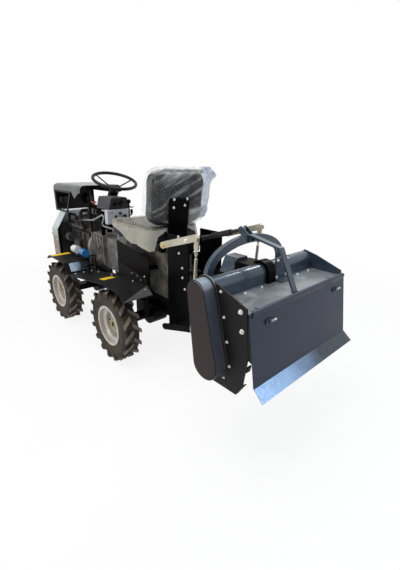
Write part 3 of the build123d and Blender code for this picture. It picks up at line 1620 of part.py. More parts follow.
# Linkage
def make_lower_links():
    links = None
    for side in (1, -1):
        near = side * LINK_Y
        far = side * (LINK_Y + LINK_T)
        bar = bar_between(LOWER_PIVOT, LOWER_END, LINK_W, min(near, far), max(near, far))
        for place in (LOWER_PIVOT, LOWER_END):
            bar -= cross_bar(
                place, LINK_PIN_R + PIN_GAP, min(near, far) - CUT_OVERRUN, max(near, far) + CUT_OVERRUN
            )
        pin_out = side * (LINK_Y + LINK_T * 2 + SIDE_GAP)
        bar += cross_bar(LIFT_ROD_END, LIFT_PIN_R, min(far, pin_out), max(far, pin_out))
        links = [bar] if links is None else links + [bar]
    return Compound(children=links)


def make_top_link():
    start = (TOP_PIVOT[0], 0, TOP_PIVOT[1])
    end = (TOP_END[0], 0, TOP_END[1])
    link = rod(start, end, TOP_ROD_R)
    run = Vector(*end) - Vector(*start)
    way = run.normalized()
    middle = Vector(*start) + run / 2
    link += rod(
        tuple(middle - way * (TOP_SLEEVE_L / 2)), tuple(middle + way * (TOP_SLEEVE_L / 2)), TOP_SLEEVE_R
    )
    half = TOP_EYE_W / 2
    for place in (TOP_PIVOT, TOP_END):
        link += cross_bar(place, TOP_EYE_R, -half, half)
    for place in (TOP_PIVOT, TOP_END):
        link -= cross_bar(place, LIFT_PIN_R + PIN_GAP, -half - CUT_OVERRUN, half + CUT_OVERRUN)
    return link


def make_lift_arms():
    arm_in = LINK_Y + LINK_T * 2 + SIDE_GAP * 2
    arm_out = arm_in + LINK_T
    arms = cross_bar(LIFT_PIVOT, LIFT_SHAFT_R, -arm_out, arm_out)
    rod_in = LINK_Y + LINK_T + SIDE_GAP
    for side in (1, -1):
        near = side * arm_in
        far = side * arm_out
        arms += bar_between(LIFT_PIVOT, LIFT_ARM_END, LIFT_ARM_W, min(near, far), max(near, far))
        pin_in = side * rod_in
        arms += cross_bar(LIFT_ARM_END, LIFT_PIN_R, min(pin_in, near), max(pin_in, near))
    return arms


def make_lift_rods():
    rods = []
    for side in (1, -1):
        y0 = LINK_Y + LINK_T + SIDE_GAP
        y1 = y0 + LINK_T
        middle_y = side * (y0 + y1) / 2
        start = Vector(LIFT_ARM_END[0], middle_y, LIFT_ARM_END[1])
        end = Vector(LIFT_ROD_END[0], middle_y, LIFT_ROD_END[1])
        run = end - start
        way = run.normalized()
        bar = rod(tuple(start), tuple(end), LIFT_END_R)
        middle = start + run / 2
        bar += rod(
            tuple(middle - way * (LIFT_SLEEVE_L / 2)),
            tuple(middle + way * (LIFT_SLEEVE_L / 2)),
            LIFT_ROD_R,
        )
        low = min(side * y0, side * y1)
        high = max(side * y0, side * y1)
        top = start + way * LIFT_CLEVIS_L
        bar += bar_between(LIFT_ARM_END, (top.X, top.Z), LIFT_CLEVIS_W, low, high)
        foot = end - way * LIFT_CLEVIS_W
        bar += bar_between(LIFT_ROD_END, (foot.X, foot.Z), LIFT_CLEVIS_W, low, high)
        for place in (LIFT_ARM_END, LIFT_ROD_END):
            bar -= cross_bar(place, LIFT_PIN_R + PIN_GAP, low - CUT_OVERRUN, high + CUT_OVERRUN)
        rods.append(bar)
    return Compound(children=rods)


def make_pto_shaft():
    start = Vector(SHAFT_PIVOT[0], 0, SHAFT_PIVOT[1])
    end = Vector(SHAFT_END[0], 0, SHAFT_END[1])
    way = (end - start).normalized()
    shaft = rod(tuple(start), tuple(end), SHAFT_NECK_R)
    shaft += rod(
        tuple(start + way * SHAFT_YOKE_L), tuple(end - way * SHAFT_YOKE_L), SHAFT_TUBE_R
    )
    half = SHAFT_EYE_W / 2
    for place in (SHAFT_PIVOT, SHAFT_END):
        shaft += cross_bar(place, SHAFT_EYE_R, -half, half)
    for place in (SHAFT_PIVOT, SHAFT_END):
        shaft -= cross_bar(place, SHAFT_PIN_R + PIN_GAP, -half - CUT_OVERRUN, half + CUT_OVERRUN)
    return shaft


keep("lower_links", make_lower_links())
keep("top_link", make_top_link())
keep("lift_arms", make_lift_arms())
keep("lift_rods", make_lift_rods())
keep("pto_shaft", make_pto_shaft())


# Tiller: side case, cross tube, gear case, covers and hitch
def make_case():
    top = (TUBE_X, TUBE_Z)
    foot = (ROTOR_X, ROTOR_Z)
    lid_y = CASE_Y1 - CASE_LID_T
    case = tapered_bar(top, CASE_TOP_R, foot, CASE_BOTTOM_R, CASE_Y0, lid_y)
    case += tapered_bar(
        top, CASE_TOP_R - CASE_LID_INSET, foot, CASE_BOTTOM_R - CASE_LID_INSET, lid_y, CASE_Y1
    )
    return case + tapered_bar(
        top,
        CASE_TOP_R + CASE_FLANGE_W,
        foot,
        CASE_BOTTOM_R + CASE_FLANGE_W,
        CASE_Y0,
        CASE_Y0 + CASE_FLANGE_T,
    )


def make_cross_tube():
    """Tube with a cover behind it: round on top, flat at the rear down to the deck."""
    y0 = END_PLATE_Y0 + END_PLATE_T
    y1 = CASE_Y0 - END_PLATE_T
    tube = cross_bar((TUBE_X, TUBE_Z), TUBE_R, y0, y1)
    tube += block(TUBE_X - TUBE_R, TUBE_X, y0, y1, DECK_Z, TUBE_Z)
    plate_x = TUBE_X - TUBE_R - CHAIN_PLATE_T
    plate = block(plate_x, TUBE_X - TUBE_R, CHAIN_PLATE_Y0, CHAIN_PLATE_Y1, DECK_Z, CHAIN_PLATE_TOP)
    hole_y = (CHAIN_PLATE_Y0 + CHAIN_PLATE_Y1) / 2
    hole_z = (TUBE_Z + CHAIN_PLATE_TOP) / 2
    plate -= rod(
        (plate_x - CUT_OVERRUN, hole_y, hole_z), (TUBE_X, hole_y, hole_z), CHAIN_PLATE_HOLE_R
    )
    plate += block(
        plate_x - CHAIN_PLATE_FOOT, plate_x, CHAIN_PLATE_Y0, CHAIN_PLATE_Y1, DECK_Z, DECK_Z + CHAIN_PLATE_T
    )
    return tube + plate


def make_gear_case():
    case = block(
        GEARCASE_X0, GEARCASE_X1, -GEARCASE_W / 2, GEARCASE_W / 2, GEARCASE_Z0, GEARCASE_Z1
    )
    z = SHAFT_END[1]
    case += rod((GEARCASE_X1, 0, z), (SHAFT_END[0] - FORK_REACH, 0, z), PTO_STUB_R)
    case += make_fork(SHAFT_END, -1)
    case += block(
        TUBE_X, GEARCASE_X0, -GEARCASE_W / 2, GEARCASE_W / 2, GEARCASE_Z0, GEARCASE_Z1
    )
    band = cross_bar((TUBE_X, TUBE_Z), TUBE_R + BAND_T, BAND_Y0, BAND_Y1)
    band += block(
        TUBE_X - TUBE_R - BAND_T, TUBE_X, BAND_Y0, BAND_Y1, DECK_Z, TUBE_Z
    )
    band -= block(
        DECK_X0, GEARCASE_X1, BAND_Y0 - CUT_OVERRUN, BAND_Y1 + CUT_OVERRUN, ROTOR_Z, DECK_Z
    )
    tube = cross_bar((TUBE_X, TUBE_Z), TUBE_R, -GEARCASE_W, GEARCASE_W)
    tube += block(TUBE_X - TUBE_R, TUBE_X, -GEARCASE_W, GEARCASE_W, DECK_Z, TUBE_Z)
    return case + band - tube


def make_end_plate(y0, y1):
    low = SKID_Z + SKID_T
    points = [
        (END_PLATE_FRONT_X, DECK_Z + CASE_TOP_R),
        (TUBE_X, END_PLATE_CROWN_Z),
        (END_PLATE_NECK_X, END_PLATE_TOP_Z),
        (DECK_X0, END_PLATE_BACK_Z),
        (END_PLATE_BULGE_X, END_PLATE_BULGE_Z),
        (END_PLATE_HEEL_X, END_PLATE_HEEL_Z),
        (SKID_BACK_X, low),
        (SKID_FRONT_X, low),
        (ROTOR_X + ROTOR_R, ROTOR_Z),
        (END_PLATE_FRONT_X, DECK_Z - CASE_TOP_R),
    ]
    return side_profile(points, y0, y1)


def make_skid(y0, y1):
    """Runner along the foot of an end plate, turned up at its front."""
    high = SKID_Z + SKID_T
    points = [
        (END_PLATE_HEEL_X, END_PLATE_HEEL_Z),
        (SKID_BACK_X, high),
        (SKID_FRONT_X, high),
        (ROTOR_X + ROTOR_R, ROTOR_Z),
        (ROTOR_X + ROTOR_R + SKID_T, ROTOR_Z - SKID_T),
        (SKID_FRONT_X, SKID_Z),
        (SKID_BACK_X - SKID_T / 2, SKID_Z),
        (END_PLATE_HEEL_X - SKID_T, END_PLATE_HEEL_Z),
    ]
    return side_profile(points, y0, y1)


def make_left_end_plate():
    plate = make_end_plate(END_PLATE_Y1 - END_PLATE_T, END_PLATE_Y1)
    plate += make_skid(END_PLATE_Y1 - SKID_W, END_PLATE_Y1)
    bore = cross_bar(
        (ROTOR_X, ROTOR_Z), JOURNAL_R + PIN_GAP, 0, END_PLATE_Y1 + CUT_OVERRUN
    )
    return plate - bore


def make_right_end_plate():
    plate = make_end_plate(END_PLATE_Y0, END_PLATE_Y0 + END_PLATE_T)
    plate += make_skid(END_PLATE_Y0, END_PLATE_Y0 + SKID_W)
    bore = cross_bar((ROTOR_X, ROTOR_Z), JOURNAL_R + PIN_GAP, END_PLATE_Y0 - CUT_OVERRUN, 0)
    return plate - bore


def make_deck():
    y0 = END_PLATE_Y0 + END_PLATE_T
    y1 = END_PLATE_Y1 - END_PLATE_T
    deck = block(DECK_X0, DECK_X1, y0, y1, DECK_Z - DECK_T, DECK_Z)
    deck += block(
        DECK_X1 - DECK_T, DECK_X1, y0, y1, DECK_Z - CASE_TOP_R, DECK_Z
    )
    for share in flap_lug_shares:
        lug_y = END_PLATE_Y0 + (END_PLATE_Y1 - END_PLATE_Y0) * share
        low = lug_y - FLAP_LUG_W / 2
        deck += cross_bar(FLAP_HINGE, FLAP_BARREL_R, low, low + FLAP_LUG_W)
        deck += block(
            FLAP_HINGE[0],
            DECK_X0 + FLAP_LUG_W,
            low,
            low + FLAP_LUG_W,
            DECK_Z,
            DECK_Z + DECK_T,
        )
    deck -= cross_bar(FLAP_HINGE, FLAP_HINGE_R + PIN_GAP, y0, y1)
    gear = block(
        TUBE_X - CUT_OVERRUN, GEARCASE_X1, -GEARCASE_W / 2, GEARCASE_W / 2, GEARCASE_Z0, GEARCASE_Z1
    )
    return deck - gear


def half_ring(half_width, height, x0, x1):
    """Upper half of an ellipse standing on the arch's feet, as a solid plate."""
    room = half_width + CUT_OVERRUN
    sheet = Plane.YZ * (Pos(0, ARCH_FOOT_Z) * Ellipse(half_width, height))
    plate = Pos(x0, 0, 0) * extrude(sheet, amount=x1 - x0)
    low = ARCH_FOOT_Z - height - CUT_OVERRUN
    return plate - block(x0 - CUT_OVERRUN, x1 + CUT_OVERRUN, -room, room, low, ARCH_FOOT_Z)


def make_arch():
    """Bent channel, open to the front, on two feet that clasp the tube."""
    foot_y = ARCH_FOOT_Y
    rise = ARCH_TOP_Z - ARCH_FOOT_Z
    x1 = ARCH_X
    x0 = x1 - ARCH_D
    arch = half_ring(foot_y, rise, x0, x1)
    arch -= half_ring(foot_y - ARCH_WALL, rise - ARCH_WALL, x0 + ARCH_WALL, x1 + CUT_OVERRUN)
    arch += half_ring(foot_y - ARCH_W + ARCH_WALL, rise - ARCH_W + ARCH_WALL, x0, x1)
    arch -= half_ring(foot_y - ARCH_W, rise - ARCH_W, x0 - CUT_OVERRUN, x1 + CUT_OVERRUN)
    for side in (1, -1):
        y0 = min(side * (foot_y - ARCH_W), side * foot_y)
        arch += block(TUBE_X, x1, y0, y0 + ARCH_W, TUBE_Z, ARCH_FOOT_Z)
    tube = cross_bar((TUBE_X, TUBE_Z), TUBE_R, -foot_y - CUT_OVERRUN, foot_y + CUT_OVERRUN)
    arch -= tube
    inner = TOP_EYE_W / 2 + SIDE_GAP
    outer = inner + TOP_EAR_T
    for side in (1, -1):
        y0 = min(side * inner, side * outer)
        arch += bar_between(
            TOP_END, (x0 + ARCH_WALL, ARCH_TOP_Z - ARCH_W / 2), TOP_EAR_R * 2, y0, y0 + TOP_EAR_T
        )
    return arch + cross_bar(TOP_END, LIFT_PIN_R, -outer, outer)


def make_strut():
    """Flat bar from the crown of the arch back over the knee and down to the deck."""
    x1 = ARCH_X - ARCH_D
    points = [
        (x1, ARCH_TOP_Z - STRUT_T),
        (x1, ARCH_TOP_Z),
        (STRUT_KNEE[0], STRUT_KNEE[1] + STRUT_T),
        (STRUT_FOOT_X, DECK_Z),
        (STRUT_FOOT_X + STRUT_T, DECK_Z),
        (STRUT_KNEE[0] + STRUT_T / 2, STRUT_KNEE[1]),
    ]
    return side_profile(points, -STRUT_W / 2, STRUT_W / 2)


def make_hitch_plates():
    plates = []
    for side in (1, -1):
        near = side * HITCH_PLATE_Y
        far = side * (HITCH_PLATE_Y + HITCH_PLATE_T)
        low = min(near, far)
        high = max(near, far)
        plate = bar_between((TUBE_X, TUBE_Z), LOWER_END, LINK_W * 2, low, high)
        plate -= cross_bar((TUBE_X, TUBE_Z), TUBE_R, low - CUT_OVERRUN, high + CUT_OVERRUN)
        plate -= block(
            DECK_X0, DECK_X1, low - CUT_OVERRUN, high + CUT_OVERRUN, ROTOR_Z, DECK_Z
        )
        plate = max(plate.solids(), key=lambda solid: solid.volume)
        pin_out = side * (LINK_Y + LINK_T)
        plate += cross_bar(LOWER_END, LINK_PIN_R, min(far, pin_out), max(far, pin_out))
        plates.append(plate)
    return Compound(children=plates)


def make_shield():
    def outline(inset):
        half = SHIELD_HALF_W - inset
        top_half = SHIELD_TOP_W / 2 - inset / 2
        return [
            (-half, SHIELD_Z0 - SHIELD_T),
            (-half, SHIELD_Z0 + inset),
            (-top_half, SHIELD_Z1 - inset),
            (top_half, SHIELD_Z1 - inset),
            (half, SHIELD_Z0 + inset),
            (half, SHIELD_Z0 - SHIELD_T),
        ]

    roof = front_profile(outline(0), SHIELD_X0, SHIELD_X1)
    roof -= front_profile(outline(SHIELD_T), SHIELD_X0 + SHIELD_T, SHIELD_X1 + CUT_OVERRUN)
    fork_room = SHAFT_EYE_W / 2 + SIDE_GAP + FORK_T + HUB_RUN
    start = (SHIELD_X0 - CUT_OVERRUN, 0, SHAFT_END[1])
    return roof - rod(start, (SHIELD_X1, 0, SHAFT_END[1]), fork_room)


keep("side_case", make_case())
keep("tiller_gearbox", make_gear_case())
keep("end_plates", Compound(children=[make_left_end_plate(), make_right_end_plate()]))
keep("tiller_deck", make_deck())
keep("hitch_arch", make_arch() + make_strut())
keep("cross_tube", make_cross_tube() + make_hitch_plates())
keep("shaft_shield", make_shield())


# Rotor: a tube with flanges, each with bent tines round it
def make_rotor_tube():
    place = (ROTOR_X, ROTOR_Z)
    tube = cross_bar(place, ROTOR_TUBE_R, ROTOR_Y0, ROTOR_Y1)
    return tube + cross_bar(place, JOURNAL_R, END_PLATE_Y0, END_PLATE_Y1 - SIDE_GAP)


def make_tine(side):
    """Bent tine: a leg out from the shaft and a foot turned to one side."""
    tip = ROTOR_R - TINE_T
    knee = tip - TINE_BEND
    y0 = 0 if side > 0 else ROTOR_FLANGE_T
    points = [
        (y0, ROTOR_TUBE_R),
        (y0, knee),
        (y0 + side * TINE_BEND, ROTOR_R),
        (y0 + side * TINE_FOOT, ROTOR_R),
        (y0 + side * TINE_FOOT, tip),
        (y0 + side * (TINE_BEND + TINE_T / 2), tip),
        (y0 + side * TINE_T, knee - TINE_T / 2),
        (y0 + side * TINE_T, ROTOR_TUBE_R),
    ]
    return front_profile(points, -TINE_W / 2, TINE_W / 2)


def make_rotor():
    """Tube with flanges, each carrying a cross of tines whose feet turn left and right by turns."""
    rotor = make_rotor_tube()
    pitch = (ROTOR_Y1 - ROTOR_Y0 - ROTOR_FLANGE_T * 2 - TINE_FOOT * 2) / (FLANGE_COUNT - 1)
    step = 360 / TINE_COUNT
    for index in range(FLANGE_COUNT):
        y = ROTOR_Y0 + TINE_FOOT + pitch * index
        rotor += cross_bar((ROTOR_X, ROTOR_Z), ROTOR_FLANGE_R, y, y + ROTOR_FLANGE_T)
        for turn in range(TINE_COUNT):
            angle = step * turn + step / FLANGE_COUNT * index
            tine = make_tine(1 if turn % 2 else -1)
            rotor += Pos(ROTOR_X, y, ROTOR_Z) * Rot(0, angle, 0) * tine
    return rotor


keep("rotor", make_rotor())


# Flap: a board hinged at the back of the deck, with a bent blade along its foot
def make_flap():
    y0 = END_PLATE_Y0
    y1 = END_PLATE_Y1
    board = side_profile(
        [
            (FLAP_TOP_X, FLAP_TOP_Z),
            (FLAP_TOP_X - FLAP_T, FLAP_TOP_Z),
            (FLAP_BOTTOM_X - FLAP_T, FLAP_BOTTOM_Z),
            (FLAP_BOTTOM_X, FLAP_BOTTOM_Z),
        ],
        y0,
        y1,
    )
    flap = board + cross_bar(FLAP_HINGE, FLAP_HINGE_R, y0, y1)
    for share in flap_lug_shares:
        lug_y = y0 + (y1 - y0) * share
        reach = FLAP_LUG_W / 2 + SIDE_GAP
        for low in (lug_y - reach - FLAP_LUG_W, lug_y + reach):
            flap += cross_bar(FLAP_HINGE, FLAP_BARREL_R, low, low + FLAP_LUG_W)
            flap += block(
                FLAP_TOP_X - FLAP_T,
                FLAP_TOP_X,
                low,
                low + FLAP_LUG_W,
                FLAP_TOP_Z - FLAP_T,
                FLAP_HINGE[1],
            )
    slope = (FLAP_TOP_X - FLAP_BOTTOM_X) / (FLAP_TOP_Z - FLAP_BOTTOM_Z)
    z = FLAP_TOP_Z - LATCH_DROP
    face_x = FLAP_TOP_X - FLAP_T - slope * LATCH_DROP
    for y in LATCH_Y:
        flap += block(
            face_x - LATCH_T,
            face_x + FLAP_T / 2,
            y - LATCH_W / 2,
            y + LATCH_W / 2,
            z - LATCH_H / 2,
            z + LATCH_H / 2,
        )
        pin_x = face_x - LATCH_T - LATCH_PIN_R / 2
        flap += cross_bar((pin_x, z), LATCH_PIN_R, y - LATCH_W / 2 - LATCH_PIN_L, y)
    return flap


def make_blade():
    y0 = END_PLATE_Y0
    y1 = END_PLATE_Y1
    return side_profile(
        [
            (FLAP_BOTTOM_X - FLAP_T, FLAP_BOTTOM_Z),
            (FLAP_BOTTOM_X, FLAP_BOTTOM_Z),
            (FLAP_TIP_X + FLAP_T, FLAP_TIP_Z),
            (FLAP_TIP_X, FLAP_TIP_Z + FLAP_T),
        ],
        y0,
        y1,
    )


keep("flap_board", make_flap())
keep("flap_blade", make_blade())

# Export each named piece in the shifted frame
for name, shape in shapes.items():
    export_step(Pos(REAR_AXLE_X, 0, 0) * shape, "parts/" + name + ".step")
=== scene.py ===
# %% [markdown]
# # A mini tractor with a rotary tiller
# This lesson dresses a tractor whose rigid pieces were drawn in CAD. We never move them. We give them
# finishes, cover the seat, and add the small things that a drawing leaves out, such as bolts, hazard
# stripes and protective film.

# %% Load the drawn pieces
import json
import math
import bpy
import bmesh
from mathutils import Matrix, Vector, noise
from mathutils.bvhtree import BVHTree


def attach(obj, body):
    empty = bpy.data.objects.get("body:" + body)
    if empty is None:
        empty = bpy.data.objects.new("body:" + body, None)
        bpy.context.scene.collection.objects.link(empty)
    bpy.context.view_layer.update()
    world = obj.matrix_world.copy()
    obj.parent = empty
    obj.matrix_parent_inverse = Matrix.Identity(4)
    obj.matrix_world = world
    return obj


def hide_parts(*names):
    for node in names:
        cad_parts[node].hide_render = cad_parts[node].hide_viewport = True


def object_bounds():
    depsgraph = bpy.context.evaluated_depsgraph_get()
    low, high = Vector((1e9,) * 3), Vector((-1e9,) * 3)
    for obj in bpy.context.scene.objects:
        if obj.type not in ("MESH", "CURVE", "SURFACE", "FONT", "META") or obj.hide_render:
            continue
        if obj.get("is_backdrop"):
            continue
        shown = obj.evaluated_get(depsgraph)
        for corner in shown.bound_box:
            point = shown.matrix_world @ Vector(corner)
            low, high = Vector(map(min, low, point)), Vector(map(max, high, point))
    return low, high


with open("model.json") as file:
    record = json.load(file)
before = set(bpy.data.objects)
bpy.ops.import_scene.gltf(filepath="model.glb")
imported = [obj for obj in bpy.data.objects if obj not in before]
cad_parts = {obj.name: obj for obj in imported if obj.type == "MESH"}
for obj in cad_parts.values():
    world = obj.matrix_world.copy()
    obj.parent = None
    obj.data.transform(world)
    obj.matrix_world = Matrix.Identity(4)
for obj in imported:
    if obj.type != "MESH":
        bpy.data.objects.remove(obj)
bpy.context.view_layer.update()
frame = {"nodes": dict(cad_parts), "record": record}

DRAWN = frame["nodes"]


def into_scene(name, data):
    """A new object for some data, linked to the scene."""
    form = bpy.data.objects.new(name, data)
    bpy.context.scene.collection.objects.link(form)
    return form


def shown(name, shape, finish):
    """An object from faces built one by one, with one finish."""
    bmesh.ops.recalc_face_normals(shape, faces=shape.faces)
    data = bpy.data.meshes.new(name)
    shape.to_mesh(data)
    shape.free()
    data.materials.append(finishes[finish])
    return into_scene(name, data)


def bridged(shape, low, high, smooth=False):
    """Quads between two rings with as many corners each."""
    for step in range(len(low)):
        after = (step + 1) % len(low)
        shape.faces.new((low[step], low[after], high[after], high[step])).smooth = smooth

# %% [markdown]
# ## One set of places
# All distances in this lesson are metres, counted from the middle of the rear axle, since that is how the
# tractor was measured. The frame that the pieces share has its origin a little further back, so one short
# function moves a measured place into it.

# %% Places from the rear axle
AXLE_X = -0.0305
LEFTWARD = Vector((0, 1, 0))
FORWARD = Vector((1, 0, 0))
UPWARD = Vector((0, 0, 1))


def at(x, y, z):
    return Vector((x + AXLE_X, y, z))


def eased(value, low, high):
    """0 below low, 1 above high, with soft ends."""
    share = min(1.0, max(0.0, (value - low) / (high - low)))
    return share * share * (3 - 2 * share)


def between(value, table):
    """Straight lines through a table of pairs, sorted by their first number."""
    if value <= table[0][0]:
        return table[0][1]
    for (x0, y0), (x1, y1) in zip(table, table[1:]):
        if value <= x1:
            return y0 + (y1 - y0) * (value - x0) / (x1 - x0)
    return table[-1][1]


print("rear axle in the shared frame", tuple(at(0, 0, 0.3)))

# %% [markdown]
# ## Writing shader sums as sums
# A node tree can be wired by hand, one node at a time, but the sums in it are then hard to read. Here one
# small class wraps an output socket and knows the signs + - * and **. The sum 1 - mask then adds its own
# Math node. Colours go through Mix nodes instead, since a Math node would turn them grey.

# %% A socket that can be added and multiplied
class Socket:
    """An output socket on which ordinary sums work."""

    def __init__(self, finish, plug):
        self.finish = finish
        self.plug = plug

    def math(self, operation, first, second=0.0, clamp=False):
        return self.finish.add("ShaderNodeMath", {"operation": operation, "use_clamp": clamp}, {0: first, 1: second})

    def __add__(self, other):
        return self.math("ADD", self, other)

    def __sub__(self, other):
        return self.math("SUBTRACT", self, other)

    def __rsub__(self, other):
        return self.math("SUBTRACT", other, self)

    def __mul__(self, other):
        return self.math("MULTIPLY", self, other)

    def __pow__(self, other):
        return self.math("POWER", self, other)

    def larger(self, other):
        return self.math("MAXIMUM", self, other)

    def size(self):
        return self.math("ABSOLUTE", self)

    def above(self, level, softness):
        """0 below the level, 1 above it, with a soft step between."""
        return self.math("MULTIPLY", self - level, 1 / softness, clamp=True)

    __radd__ = __add__
    __rmul__ = __mul__


class Finish:
    """One material, or the world, with one way to add any node to it."""

    def __init__(self, name, owner=None):
        self.material = owner or bpy.data.materials.new(name)
        self.material.use_nodes = True
        self.nodes = self.material.node_tree.nodes
        self.links = self.material.node_tree.links
        self.nodes.clear()

    def plug(self, target, value):
        if isinstance(value, Socket):
            self.links.new(value.plug, target)
        elif hasattr(value, "__len__") and len(value) == 3 and len(target.default_value) == 4:
            target.default_value = (*value, 1.0)
        else:
            target.default_value = value

    def add(self, kind, settings=None, inputs=None, output=0):
        node = self.nodes.new(kind)
        for key, value in (settings or {}).items():
            setattr(node, key, value)
        for key, value in (inputs or {}).items():
            self.plug(node.inputs[key], value)
        return Socket(self, node.outputs[output] if node.outputs else None)

    def place(self, kind="Object"):
        return self.add("ShaderNodeTexCoord", output=["Generated", "Normal", "UV", "Object"].index(kind))

    def part(self, vector, index):
        """One of the three numbers of a vector."""
        return self.add("ShaderNodeSeparateXYZ", inputs={0: vector}, output=index)

    def facing(self, index):
        """How far the surface faces along one axis of the object."""
        return self.part(self.place("Normal"), index)

    def drawn_out(self, stretch, turn=(0, 0, 0)):
        """Coordinates that are turned first and then stretched, for streaks in any direction."""
        turned = self.add("ShaderNodeMapping", inputs={"Vector": self.place(), "Rotation": turn})
        return self.add("ShaderNodeMapping", inputs={"Vector": turned, "Scale": stretch})

    def cloud(self, scale, detail=4.0, rough=0.55, where=None):
        """Soft noise from 0 to 1."""
        where = where or self.place()
        return self.add(
            "ShaderNodeTexNoise", inputs={"Vector": where, "Scale": scale, "Detail": detail, "Roughness": rough}
        )

    def blend(self, share, first, second):
        """A colour between two colours."""
        return self.add(
            "ShaderNodeMix", {"data_type": "RGBA", "clamp_factor": True}, {0: share, 6: first, 7: second}, output=2
        )

    def bump(self, height, strength, distance):
        return self.add("ShaderNodeBump", inputs={"Height": height, "Strength": strength, "Distance": distance})

    def close(self, **inputs):
        """The surface itself, as one Principled shader."""
        named = {key.replace("_", " "): value for key, value in inputs.items()}
        surface = self.add("ShaderNodeBsdfPrincipled", inputs=named)
        self.add("ShaderNodeOutputMaterial", inputs={"Surface": surface})
        return self.material


print("shader helper ready")

# %% [markdown]
# ## Painted metal
# Sprayed enamel is never one flat colour. It has a faint orange-peel ripple, dust that settles where
# nothing rubs, and a gloss that changes from hand to hand. We could paint maps for that, but noise in the
# object's own space needs no unwrapping and fits every piece, so all the paints come from one function.
# The black paint gets a low specular level, because a white studio would otherwise turn it grey.

# %% Paint for the sheets and castings
def paint(name, colour, dusty, gloss, dust, metallic, coat, sheen):
    finish = Finish(name)
    patches = finish.cloud(7.0, 5.0, 0.6)
    fine = finish.cloud(180.0, 2.0)
    settled = patches.above(0.48, 0.3) * dust
    resting = finish.facing(2).above(0.6, 0.4) * (dust * 0.6)
    share = settled + resting * fine
    return finish.close(
        Base_Color=finish.blend(share, colour, dusty),
        Roughness=share * 0.45 + fine * 0.08 + gloss,
        Metallic=metallic,
        Coat_Weight=coat,
        Coat_Roughness=0.12,
        Specular_IOR_Level=sheen,
        Normal=finish.bump(fine + patches, 0.06, 0.002),
    )


PAINTS = {
    # slot: (colour, dust colour, roughness, dust, metallic, coat, specular level)
    "black_paint": ((0.0018, 0.0018, 0.0022), (0.020, 0.017, 0.015), 0.26, 0.12, 0.0, 0.0, 0.035),
    "link_paint": ((0.016, 0.016, 0.018), (0.05, 0.045, 0.04), 0.34, 0.2, 0.0, 0.0, 0.2),
    "platform_paint": ((0.006, 0.0062, 0.007), (0.036, 0.033, 0.031), 0.34, 0.4, 0.0, 0.0, 0.08),
    "fender_paint": ((0.055, 0.057, 0.060), (0.13, 0.13, 0.13), 0.34, 0.5, 0.0, 0.0, 0.2),
    "flap_paint": ((0.042, 0.049, 0.071), (0.058, 0.064, 0.086), 0.34, 0.3, 0.25, 0.04, 0.08),
    "plate_paint": ((0.009, 0.0085, 0.0085), (0.030, 0.025, 0.022), 0.36, 0.25, 0.0, 0.0, 0.14),
    "tiller_paint": ((0.034, 0.052, 0.076), (0.064, 0.078, 0.094), 0.26, 0.25, 0.3, 0.35, 0.3),
    "deck_paint": ((0.105, 0.120, 0.135), (0.23, 0.25, 0.26), 0.24, 0.8, 0.3, 0.35, 0.4),
    "hood_paint": ((0.022, 0.023, 0.026), (0.17, 0.175, 0.18), 0.24, 0.8, 0.2, 0.4, 0.3),
    "silver_paint": ((0.47, 0.50, 0.55), (0.30, 0.30, 0.31), 0.34, 0.2, 0.2, 0.1, 0.5),
}
finishes = {}
for slot, row in PAINTS.items():
    finishes[slot] = paint(slot, *row)
print("paints", sorted(finishes))

# %% [markdown]
# ## Two paints on one case
# The drive case has a flat cover in brown primer, but its rim has the tiller's blue-grey. The cover faces
# straight to the left, so the direction in which the surface faces can choose the paint. Faces of the rim that
# look upwards are painted a pale blue-grey, a painted highlight where the light falls on its top.

# %% Drive case paint
def case_paint():
    finish = Finish("case_paint")
    patches = finish.cloud(7.0, 5.0, 0.6)
    cover = finish.facing(1).size().above(0.7, 0.2)
    side = finish.blend(patches, (0.060, 0.068, 0.092), (0.095, 0.10, 0.125))
    # painted highlight: the rim's upward faces turn a pale blue-grey, as if lit from above
    rim = finish.blend(finish.facing(2).above(0.3, 0.5), side, (0.21, 0.26, 0.30))
    primer = finish.blend(patches, (0.018, 0.012, 0.011), (0.030, 0.020, 0.018))
    return finish.close(
        Base_Color=finish.blend(cover, rim, primer),
        Roughness=patches * 0.1 + cover * 0.22 + 0.24,
        Metallic=0.15,
        Specular_IOR_Level=0.25,
        Normal=finish.bump(patches, 0.06, 0.002),
    )


finishes["case_paint"] = case_paint()
print("case done")

# %% [markdown]
# ## Bare metal
# Zinc plate on links and bolts is bright with a yellow cast, galvanised sheet carries a spangle of
# crystals, and raw castings are dull and pitted. A Voronoi texture gives crystals their own tone, cell by
# cell. Castings get two sizes of noise instead, since sand leaves no cells.

# %% Zinc, galvanised sheet and castings
def plated(name, colour, tint, gloss, metallic):
    finish = Finish(name)
    patches = finish.cloud(14.0, 4.0)
    scratches = finish.cloud(60.0, 3.0, where=finish.drawn_out((1.0, 1.0, 9.0)))
    return finish.close(
        Base_Color=finish.blend(patches.above(0.4, 0.4), colour, tint),
        Roughness=scratches * 0.25 + gloss,
        Metallic=metallic,
        Normal=finish.bump(scratches, 0.05, 0.001),
    )


def spangled(name, colour, tint, gloss):
    finish = Finish(name)
    cells = finish.add("ShaderNodeTexVoronoi", inputs={"Vector": finish.place(), "Scale": 55.0}, output=1)
    tone = finish.part(cells, 0)
    streaks = finish.cloud(5.0, 4.0)
    return finish.close(
        Base_Color=finish.blend(tone * 0.6 + streaks * 0.4, colour, tint),
        Roughness=tone * 0.14 + gloss,
        Metallic=0.75,
    )


def casting(name, colour, tint, gloss, metallic):
    finish = Finish(name)
    sand = finish.cloud(240.0, 3.0, 0.7)
    stains = finish.cloud(9.0, 6.0, 0.66)
    return finish.close(
        Base_Color=finish.blend(stains.above(0.42, 0.26), colour, tint),
        Roughness=stains * 0.3 + gloss,
        Metallic=metallic,
        Normal=finish.bump(sand + stains, 0.25, 0.002),
    )


